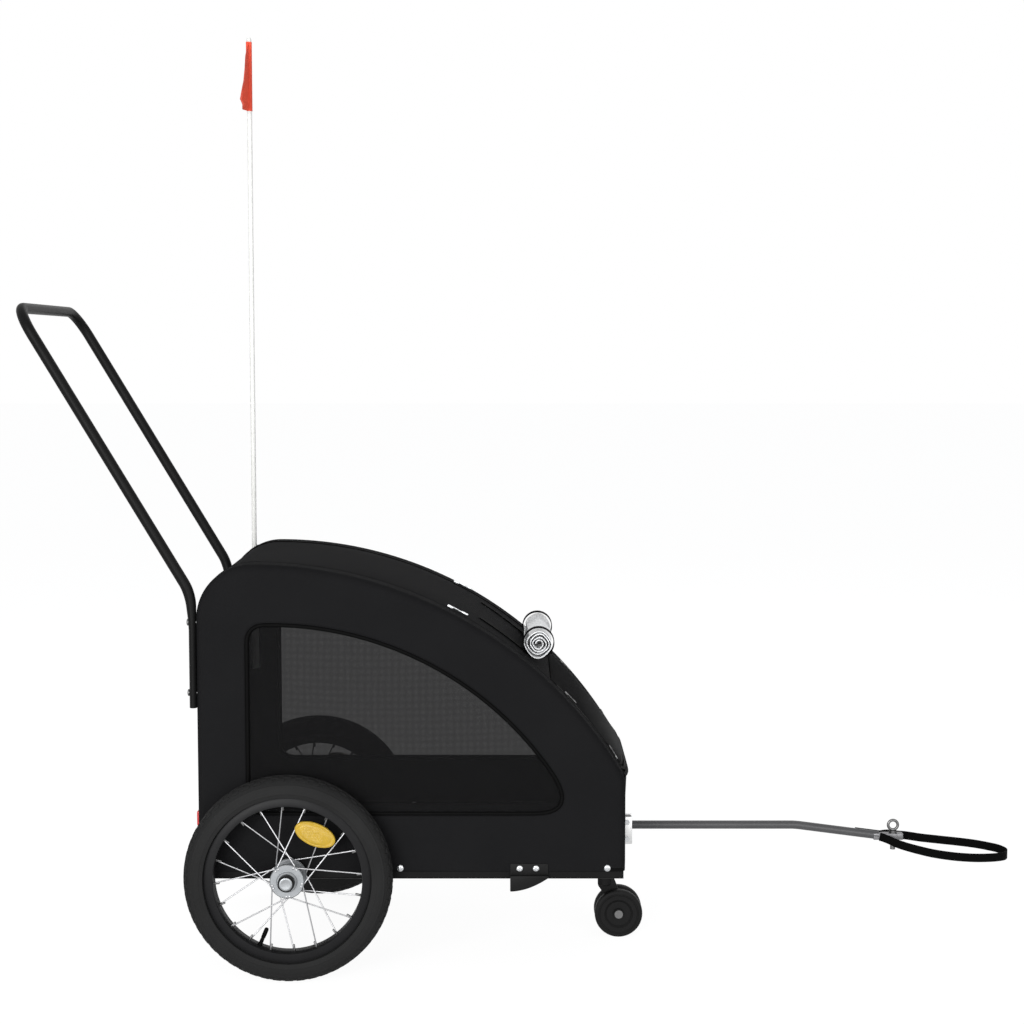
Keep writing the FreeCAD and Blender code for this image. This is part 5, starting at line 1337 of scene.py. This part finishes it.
mount(repeat_piece("dome_bolts", bolt_marks, bolt, dark_zinc), "frame", "handle_bolts", slot="zinc")

# %% [markdown]
# ## Rain cover and its straps
#
# A clear rain cover is rolled up above the door and tied with two black straps. A roll is a spiral: the
# radius grows evenly with the angle. Slow waves press it out of round, as hands do, and stay smaller than
# the gap between two turns, so that the layers don't cut each other.

# %% Rolled rain cover
ROLL_SETBACK, ROLL_LIFT = 43.0, 24.1
ROLL_ANGLE = DOOR_ANGLE - ROLL_SETBACK / ROOF_R
ROLL_X, ROLL_Z = roof_at(ROLL_ANGLE, ROOF_R + ROLL_LIFT)
ROLL_HALF, ROLL_TURNS, ROLL_OUTER, ROLL_PITCH = 110.0, 4.0, 21.6, 4.4


def spiral_point(share, across):
    """A place on the rolled film: a share of its length from the middle, and a share of half its width."""
    turn = 2 * math.pi * ROLL_TURNS * share
    radius = ROLL_OUTER - ROLL_PITCH * ROLL_TURNS * (1 - share)
    radius *= (0.95 + 0.04 * math.sin(4 * turn + 0.9)
               + 0.04 * math.sin(1.37 * turn + 1.1 + 0.8 * across))
    radius *= 1 + 0.01 * math.sin(3.3 * turn + 7 * across)
    end = 2.0 * math.sin(1.7 * turn) + 1.2 * math.sin(4.1 * turn + 0.6)
    y = across * (ROLL_HALF - 2.5 + end * 0.6)
    return spot(ROLL_X - radius * math.cos(turn), y, ROLL_Z + radius * math.sin(turn))


SPIRAL_STEPS, SPIRAL_COLUMNS = 160, 25
points = [spiral_point(i / (SPIRAL_STEPS - 1), 2 * c / (SPIRAL_COLUMNS - 1) - 1)
          for i in range(SPIRAL_STEPS) for c in range(SPIRAL_COLUMNS)]
faces = grid_faces(SPIRAL_STEPS, SPIRAL_COLUMNS)
rolled = mesh_piece("rolled_rain_cover", points, faces, clear_film, sharp=60, merge=False)
solidify(rolled, 1.1)
mount(rolled, "frame", "rain_cover_roll", slot="clear_film")

# %% [markdown]
# ### Straps round the roll
#
# Each strap is webbing that goes round the roll and up the roof. Both runs are flat bands on a path: the
# first faces away from the roll's middle, and the second lies on the cloth and follows its rise.

# %% Straps round the roll
STRAP_R, STRAP_THICK, STRAP_HALF, STRAP_Y, STRAP_REACH = 23.1, 1.3, 7.5, 88.0, 93.0


def ring_out(place):
    """The way from the roll's middle to a place."""
    return Vector((place.x * 1000 - AXLE_X - ROLL_X, 0, place.z * 1000 - ROLL_Z)).normalized()


def strap_runs(y):
    """The ring round the roll, and the tail that lies on the roof."""
    turns = np.linspace(0, 2 * math.pi, 49)
    ring = [spot(ROLL_X + STRAP_R * math.sin(t), y, ROLL_Z + STRAP_R * math.cos(t)) for t in turns]
    tail = []
    for a in np.linspace(ROLL_ANGLE, ROLL_ANGLE - STRAP_REACH / ROOF_R, 16):
        x, z = roof_at(a, ROOF_R + 1.45 + roof_lift(ROOF_START + ROOF_R * a, y / STRIP_Y))
        tail.append(spot(x, y, z))
    return ring, tail


strap_parts = []
for sign in SIDES.values():
    ring, tail = strap_runs(sign * STRAP_Y)
    strap_parts.append(ribbon_piece("strap_ring", ring, ring_out, STRAP_HALF, STRAP_THICK / 2, webbing))
    strap_parts.append(ribbon_piece("strap_tail", tail, zip_out, STRAP_HALF, STRAP_THICK / 2, webbing))
mount(joined("tie_straps", strap_parts), "frame", "cover_straps", slot="black_webbing")
print(len(strap_parts), "strap runs joined")

# %% [markdown]
# ## Brackets and reflectors
#
# A moulded bracket with a curved lip sits under each side, and two red reflectors on the rear wall. The
# bracket is a box and an outline with thickness in one piece. A wide bevel rounds the reflectors, which
# saves shaping each corner.

# %% Side brackets and rear reflectors
PLATE_LOW, PLATE_HIGH, LIP_OUT = 200.0, 203.0, 210.0
LIP = [(323 + 56 * t, 126.5 + 20 * t ** 1.9) for t in np.linspace(0, 1, 14)] + [(379, 150), (323, 150)]
for side, sign in SIDES.items():
    inner, outer = sorted((sign * PLATE_LOW, sign * PLATE_HIGH))
    plate = block_piece(side + "_plate", [(spot(323, inner, 146.5), spot(379, outer, 166.5))], moulded, 1.0)
    lip = prism_piece(side + "_lip", LIP, *sorted((sign * PLATE_LOW, sign * LIP_OUT)), moulded, 1.2)
    bracket = joined(side + "_lipped_bracket", [plate, lip])
    mount(bracket, "frame", side + "_side_bracket", slot="black_plastic")
red_boxes = [(spot(-142, sign * 150 - 21, 214), spot(-135, sign * 150 + 21, 238)) for sign in SIDES.values()]
reflectors = block_piece("red_reflectors", red_boxes, red_lens, 3.2, 4)
mount(reflectors, "frame", "rear_reflectors", slot="red_lens")
print(len(red_boxes), "rear reflectors")

# %% [markdown]
# ## Flag
#
# A white rod stands in a light pocket inside the wall, comes out through an eyelet in the roof and carries
# a small pennant. Rod and pocket are turned shapes. The eyelet is a closed sweep, because a turned ring
# would lie level, and the roof slopes there.

# %% Flag pole, pocket and eyelet
POLE_X, POLE_Y, POLE_FOOT, POLE_TOP = POLE.x * 1000 - AXLE_X, POLE.y * 1000, 397.0, 1420.0
POCKET_LOW, POCKET_TOP = POLE_FOOT - 2, 467.0
pole_axis = spot(POLE_X, POLE_Y, 0)
ROD = [(0, POLE_FOOT), (3.6, POLE_FOOT), (4, POLE_FOOT + 0.6), (4, POLE_TOP - 3), (3.2, POLE_TOP - 0.8),
       (0, POLE_TOP)]
pole = lathe_piece("white_pole", ROD, pole_axis, white_rod, 24, axis="Z")
mount(pole, "flag_mast", "flag_pole", slot="white_rod")
POCKET = [(0, POCKET_LOW), (5.6, POCKET_LOW), (6.05, POCKET_LOW + 0.6), (6.05, POCKET_TOP - 0.6),
          (5.6, POCKET_TOP), (4.4, POCKET_TOP), (4.1, POCKET_TOP - 1), (4.1, POLE_FOOT), (0, POLE_FOOT)]
tube = lathe_piece("pocket_tube", POCKET, pole_axis, white_rod, 32, axis="Z")
tab_box = (spot(POLE_X - 1, POLE_Y + 5, POCKET_LOW), spot(POLE_X + 1, PANEL_Y - 0.9, POCKET_TOP))
tab = block_piece("pocket_tab", [tab_box], white_rod, 0.4)
mount(joined("pole_pocket", [tube, tab]), "frame", "flag_sleeve", slot="white_rod")


def corner_height(x):
    """Height of the roof's rear corner at a place along the trailer."""
    return TOP_Z - CORNER_R + math.sqrt(CORNER_R ** 2 - (x - ROOF_X) ** 2)


eyelet_path = []
for turn in np.linspace(0, 2 * math.pi, 40, endpoint=False):
    x, y = POLE_X + 7.8 * math.cos(turn), POLE_Y + 7.8 * math.sin(turn)
    eyelet_path.append(spot(x, y, corner_height(x) + 0.3))
eyelet_turns = np.linspace(0, 2 * math.pi, 12, endpoint=False)
eyelet_section = [(0.9 * math.cos(t), 3.3 * math.sin(t)) for t in eyelet_turns]
eyelet = pipe_piece("pole_eyelet", eyelet_path, eyelet_section, moulded, side=Vector((0, 0, 1)), closed=True)
mount(eyelet, "frame", slot="cover_fabric")
print("pole", round(POLE_TOP - POLE_FOOT), "mm long")

# %% [markdown]
# ### Pennant
#
# In still air the pennant hangs limp from its hem, and its free end falls in slow folds. A cloth simulation
# would fold it by chance. Here a short table says how far the cloth sways at each height, read from the side
# view, and the sway fades out at the pole, where the hem holds the cloth straight.

# %% Pennant
FLAG_TOP, FLAG_H, FLAG_REACH, FLAG_TIP = POLE_TOP - 7.0, 110.0, 84.0, 0.14
FLAG_SWAY = [(0, 3.0), (0.2, 5.3), (0.38, 6.6), (0.57, 8.9), (0.66, 11.0), (0.76, 13.2), (0.815, 14.3),
             (0.86, 12.2), (0.9, 10.6), (0.955, 11.2), (1, 10.0)]
points, uvs = [], []
FLAG_ROWS, FLAG_COLUMNS = 41, 31
for r in range(FLAG_ROWS):
    for c in range(FLAG_COLUMNS):
        t, v = r / (FLAG_ROWS - 1), c / (FLAG_COLUMNS - 1)
        down = (1 - FLAG_TIP) * t + (1 - (1 - FLAG_TIP) * t) * v
        sway = np.interp(down - 0.11 * t, *zip(*FLAG_SWAY)) * math.sin(math.pi / 2 * min(1, t / 0.3))
        sway -= 11.0 * t + 2.0 * max(0, t - 0.3) * (1 + math.sin(11 * t + 3 * down))
        points.append(spot(POLE_X - sway, POLE_Y - 3.4 - FLAG_REACH * t, FLAG_TOP - FLAG_H * down))
        uvs.append((t * 0.09, down * FLAG_H / 1000))
faces = grid_faces(FLAG_ROWS, FLAG_COLUMNS)
pennant = solidify(mesh_piece("pennant", points, faces, flag_cloth, uvs, 60, merge=False), 0.4, 0)
mount(pennant, "flag_mast", "flag", slot="flag_cloth")
hem_low = FLAG_TOP - FLAG_H
FLAG_HEM = [(4.05, hem_low), (4.7, hem_low), (4.8, hem_low + 1), (4.8, FLAG_TOP - 1), (4.7, FLAG_TOP),
            (4.05, FLAG_TOP)]
hem = lathe_piece("flag_hem", FLAG_HEM, pole_axis, flag_cloth, 24, axis="Z")
mount(hem, "flag_mast", slot="flag_cloth")

# %% [markdown]
# ## Tow bar
#
# A plate bracket on the front rail carries a bent bar with a flat tongue and a lift-out pin. Bracket and
# tongue are boxes with a small bevel, and the bar is a round section on a path with one rounded corner.
# The tongue's hole is left open between four boxes, so nothing has to be cut.

# %% Tow bracket, bar and tongue
TOW_Z, TOW_DROP, TOW_BEND, TOW_END = 175.0, 17.0, 771.0, 902.0
cheeks = [(spot(493.5, low, 147), spot(514, high, 190)) for low, high in ((8.6, 12.5), (-12.5, -8.6))]
bracket = block_piece("folded_bracket", [(spot(490, -30, 147), spot(494, 30, 190))] + cheeks, bare_plate, 0.8)
mount(bracket, "frame", "tow_bracket", slot="bracket_metal")
bar_corners = [spot(494, 0, TOW_Z), spot(TOW_BEND, 0, TOW_Z), spot(TOW_END, 0, TOW_Z - TOW_DROP)]
bar_path = rounded_path(bar_corners, [0.12], 10)
bar = pipe_piece("bar_tube", bar_path, ring_section(6.5, 28), grey_paint)
root = block_piece("bar_root", [(spot(494.2, -8.4, 147.4), spot(513.5, 8.4, 189.6))], grey_paint, 1.5)
mount(joined("bent_tow_bar", [bar, root]), "frame", "tow_bar", slot="bar_grey")
TONGUE = [(894, 918.9, -6.4, 6.4), (930.9, 940, -6.4, 6.4),
          (918.5, 931.5, 4.6, 6.4), (918.5, 931.5, -6.4, -4.6)]
tongue_boxes = [(spot(rear, low, 152), spot(front, high, 162)) for rear, front, low, high in TONGUE]
tongue = block_piece("flat_tongue", tongue_boxes, dull_plate, 0.5)
mount(tongue, "frame", "hitch_tongue", slot="bracket_metal")
print("tow bar path of", len(bar_path), "points")

# %% [markdown]
# ## Safety strap
#
# The strap is flat webbing set on edge: sewn to one side of the bar, out round a loop and back. Rows of a
# table give the loop's length, width and fall, and a smooth curve through them gives the path of a band.

# %% Safety strap's path
WEB_SIDE, WEB_HALF, WEB_TIP, WEB_HIGH, WEB_FALL = 7.7, 52.0, 1105.0, 157.5, 27.0
WEB_SLOPE = TOW_DROP / (TOW_END - TOW_BEND)
# From the near end to the tip: share of the length, of the half width and of the fall.
LOOP_SHAPE = np.array([(0, 0.148, 0), (0.015, 0.165, 0.02), (0.06, 0.37, 0.08), (0.104, 0.57, 0.167),
                       (0.163, 0.7, 0.278), (0.257, 0.865, 0.415), (0.381, 0.955, 0.593), (0.53, 1, 0.737),
                       (0.678, 0.955, 0.837), (0.8, 0.825, 0.9), (0.9, 0.62, 0.956), (0.965, 0.385, 0.985),
                       (0.9955, 0, 1)])


def smooth(rows, steps=8):
    """More points between rows, on a curve that passes through all of them."""
    ends = np.concatenate([[2 * rows[0] - rows[1]], rows, [2 * rows[-1] - rows[-2]]])
    out = []
    for a, b, c, d in zip(ends, ends[1:], ends[2:], ends[3:]):
        bow, twist = 2 * a - 5 * b + 4 * c - d, 3 * b - a - 3 * c + d
        for t in np.linspace(0, 1, steps, endpoint=False):
            out.append(0.5 * (2 * b + (c - a) * t + bow * t ** 2 + twist * t ** 3))
    return np.array(out + [rows[-1]])


mirror_rows = LOOP_SHAPE[-2::-1] * (1, -1, 1)
loop_rows = smooth(np.concatenate([LOOP_SHAPE, mirror_rows]))
NEAR_X = TOW_END + 1


def beside_bar(x, y, rise=0.0):
    """A place on the run of webbing that is sewn along the bar."""
    return spot(x, y, WEB_HIGH + (NEAR_X - x) * WEB_SLOPE + rise)


web_path = [beside_bar(x, WEB_SIDE) for x in np.linspace(866, NEAR_X, 14)[:-1]]
for t, out, drop in loop_rows:
    web_path.append(spot(NEAR_X + t * (WEB_TIP - NEAR_X), out * WEB_HALF, WEB_HIGH - drop * WEB_FALL))
print("strap path of", len(web_path), "points")


# %% Webbing and its stitches
def web_out(place):
    """The way that the webbing's flat side faces at a place."""
    i = min(range(len(web_path)), key=lambda k: (web_path[k] - place).length)
    ahead = (web_path[min(i + 1, len(web_path) - 1)] - web_path[max(i - 1, 0)]).normalized()
    return ahead.cross(Vector((0, 0, 1))).normalized() * -1


web = ribbon_piece("webbing_loop", web_path, web_out, 6.5, 0.9, webbing)
mount(web, "frame", "safety_strap", slot="black_webbing")
sewn, face = WEB_SIDE + 0.85, ACROSS
low_row = [beside_bar(x, sewn, -4.6) for x in (868, 898)]
high_row = [beside_bar(x, sewn, 4.6) for x in (898, 868)]
web_marks = marks_along(low_row + high_row, 3.4, face, closed=True)
for a, b in zip(low_row, high_row):
    web_marks += marks_along([a, b], 3.4, face)
stitch = small_shape("stitch", 2.5, 0.7, 0.4, 0.15)
mount(repeat_piece("strap_stitches", web_marks, stitch, thread), "frame", slot="black_webbing")

# %% [markdown]
# ## Caster
#
# A twin wheel caster carries the front when the trailer is pushed. Its wheels are turned, which gives the
# tread and the dished face in one profile. Its body is a slim plate between them with a boss for the stem.

# %% Caster
PIVOT_X, CASTER_Z = 493.0, 37.5
WHEEL_IN, WHEEL_OUT = 6.4, 21.4
CASTER = [(4.05, WHEEL_IN), (34.2, WHEEL_IN), (36.4, WHEEL_IN + 1.2), (37.4, WHEEL_IN + 3.75), (37.5, 14),
          (37.4, WHEEL_OUT - 3.75), (36.4, WHEEL_OUT - 1.2), (34.2, WHEEL_OUT), (31.5, WHEEL_OUT),
          (30.8, WHEEL_OUT - 0.8), (29.6, WHEEL_OUT - 0.8), (28.8, WHEEL_OUT), (22.5, WHEEL_OUT),
          (18.75, WHEEL_OUT - 3), (8.5, WHEEL_OUT - 3), (8.2, WHEEL_OUT), (4.05, WHEEL_OUT)]
for side, sign in SIDES.items():
    profile = [(r, sign * y) for r, y in CASTER]
    wheel = lathe_piece(side + "_caster_tread", profile, spot(PIVOT_X, 0, CASTER_Z), moulded, 72)
    mount(wheel, "caster_" + side + "_wheel", side + "_caster_wheel", slot="caster_tread")
NECK = [(483.4, 27.9), (502.6, 27.9), (502.6, 49.5), (483, 98), (461, 98), (461, 79), (483.4, 45.5)]
neck = prism_piece("caster_neck_plate", NECK, -5.5, 5.5, moulded, 1.5, 3)
BOSS = [(0, 79), (9.6, 79), (11, 80.4), (11, 96.6), (9.6, 98), (0, 98)]
boss = lathe_piece("caster_boss", BOSS, spot(472, 0, 0), moulded, 40, axis="Z")
mount(joined("caster_neck", [neck, boss]), "caster", "caster_body", slot="black_plastic")
print("caster made")

# %% [markdown]
# ## Floor and surround
#
# A product photo on white has a bright, even surround. The floor and the world show white to the camera
# and in reflections, while lamps and a grey world light the trailer at a plain level. Stronger lamps would
# make the floor white too, but then the black cloth would turn grey.


# %% White floor
def seen_direct(material_nodes, links):
    """1 for rays from the camera, and for those that mirrors and glass send on."""
    path = material_nodes.new("ShaderNodeLightPath")
    first = material_nodes.new("ShaderNodeMath")
    second = material_nodes.new("ShaderNodeMath")
    first.operation = second.operation = "MAXIMUM"
    links.new(path.outputs["Is Camera Ray"], first.inputs[0])
    links.new(path.outputs["Is Glossy Ray"], first.inputs[1])
    links.new(first.outputs[0], second.inputs[0])
    links.new(path.outputs["Is Transmission Ray"], second.inputs[1])
    return second.outputs[0]


floor_finish = bpy.data.materials.new("white floor")
floor_finish.use_nodes = True
nodes, links = floor_finish.node_tree.nodes, floor_finish.node_tree.links
nodes.clear()
leave, pick = nodes.new("ShaderNodeOutputMaterial"), nodes.new("ShaderNodeMixShader")
plain, shade = nodes.new("ShaderNodeBsdfDiffuse"), nodes.new("ShaderNodeBsdfDiffuse")
glow, both = nodes.new("ShaderNodeEmission"), nodes.new("ShaderNodeAddShader")
plain.inputs["Color"].default_value = (0.8, 0.8, 0.8, 1)
shade.inputs["Color"].default_value = (0.14, 0.14, 0.14, 1)
glow.inputs["Strength"].default_value = 0.93
links.new(shade.outputs[0], both.inputs[0])
links.new(glow.outputs[0], both.inputs[1])
links.new(seen_direct(nodes, links), pick.inputs[0])
links.new(plain.outputs[0], pick.inputs[1])
links.new(both.outputs[0], pick.inputs[2])
links.new(pick.outputs[0], leave.inputs["Surface"])
FLOOR_HALF, FLOOR_Z = 30, -0.0005
FLOOR_CORNERS = [(-1, -1), (1, -1), (1, 1), (-1, 1)]
floor_points = [Vector((a * FLOOR_HALF, b * FLOOR_HALF, FLOOR_Z)) for a, b in FLOOR_CORNERS]
floor = mesh_piece("studio_floor", floor_points, [(0, 1, 2, 3)], floor_finish)
print("floor", 2 * FLOOR_HALF, "m wide")

# %% White surround
world = bpy.data.worlds.new("white studio")
scene.world = world
world.use_nodes = True
nodes, links = world.node_tree.nodes, world.node_tree.links
nodes.clear()
leave, pick = nodes.new("ShaderNodeOutputWorld"), nodes.new("ShaderNodeMixShader")
soft, white = nodes.new("ShaderNodeBackground"), nodes.new("ShaderNodeBackground")
soft.inputs["Color"].default_value = (0.95, 0.97, 1.0, 1)
white.inputs["Color"].default_value = (1, 1, 1, 1)
soft.inputs["Strength"].default_value = 0.42
links.new(seen_direct(nodes, links), pick.inputs[0])
links.new(soft.outputs[0], pick.inputs[1])
links.new(white.outputs[0], pick.inputs[2])
links.new(pick.outputs[0], leave.inputs["Surface"])
print("world", world.name)

# %% [markdown]
# ## Lamps and camera
#
# Two large lamps on the near side and a weak one behind give soft light without hard edges. The camera
# has the long lens, the height and the slight downward tilt that were fitted to the wheels and windows.


# %% Lamps and camera
def area_lamp(name, place, aim, size, watts):
    """A square lamp that is turned to face a point."""
    light = bpy.data.lights.new(name, "AREA")
    light.size, light.energy = size, watts
    obj = bpy.data.objects.new(name, light)
    obj.location = place
    obj.rotation_euler = (Vector(aim) - Vector(place)).to_track_quat("-Z", "Y").to_euler()
    scene.collection.objects.link(obj)


area_lamp("key lamp", (-1.6, -4.2, 1.2), (0, 0, 0.4), 2.4, 190)
area_lamp("fill lamp", (1.8, -3.8, 1.0), (0, 0, 0.4), 2.4, 80)
area_lamp("back lamp", (0.6, 3.2, 3.4), (0, 0, 0.5), 2.4, 20)

camera = bpy.data.objects.new("photo camera", bpy.data.cameras.new("photo camera"))
SENSOR, FOCAL_SHARE, TILT = 36.0, 1947.64 / 1024, 4.79
camera.data.sensor_width, camera.data.lens = SENSOR, SENSOR * FOCAL_SHARE
camera.location = (-0.0279, -3.012, 0.9208)
camera.rotation_euler = (math.radians(90 - TILT), 0, 0)
scene.collection.objects.link(camera)
scene.camera = camera
print("lens", round(camera.data.lens, 2), "mm")
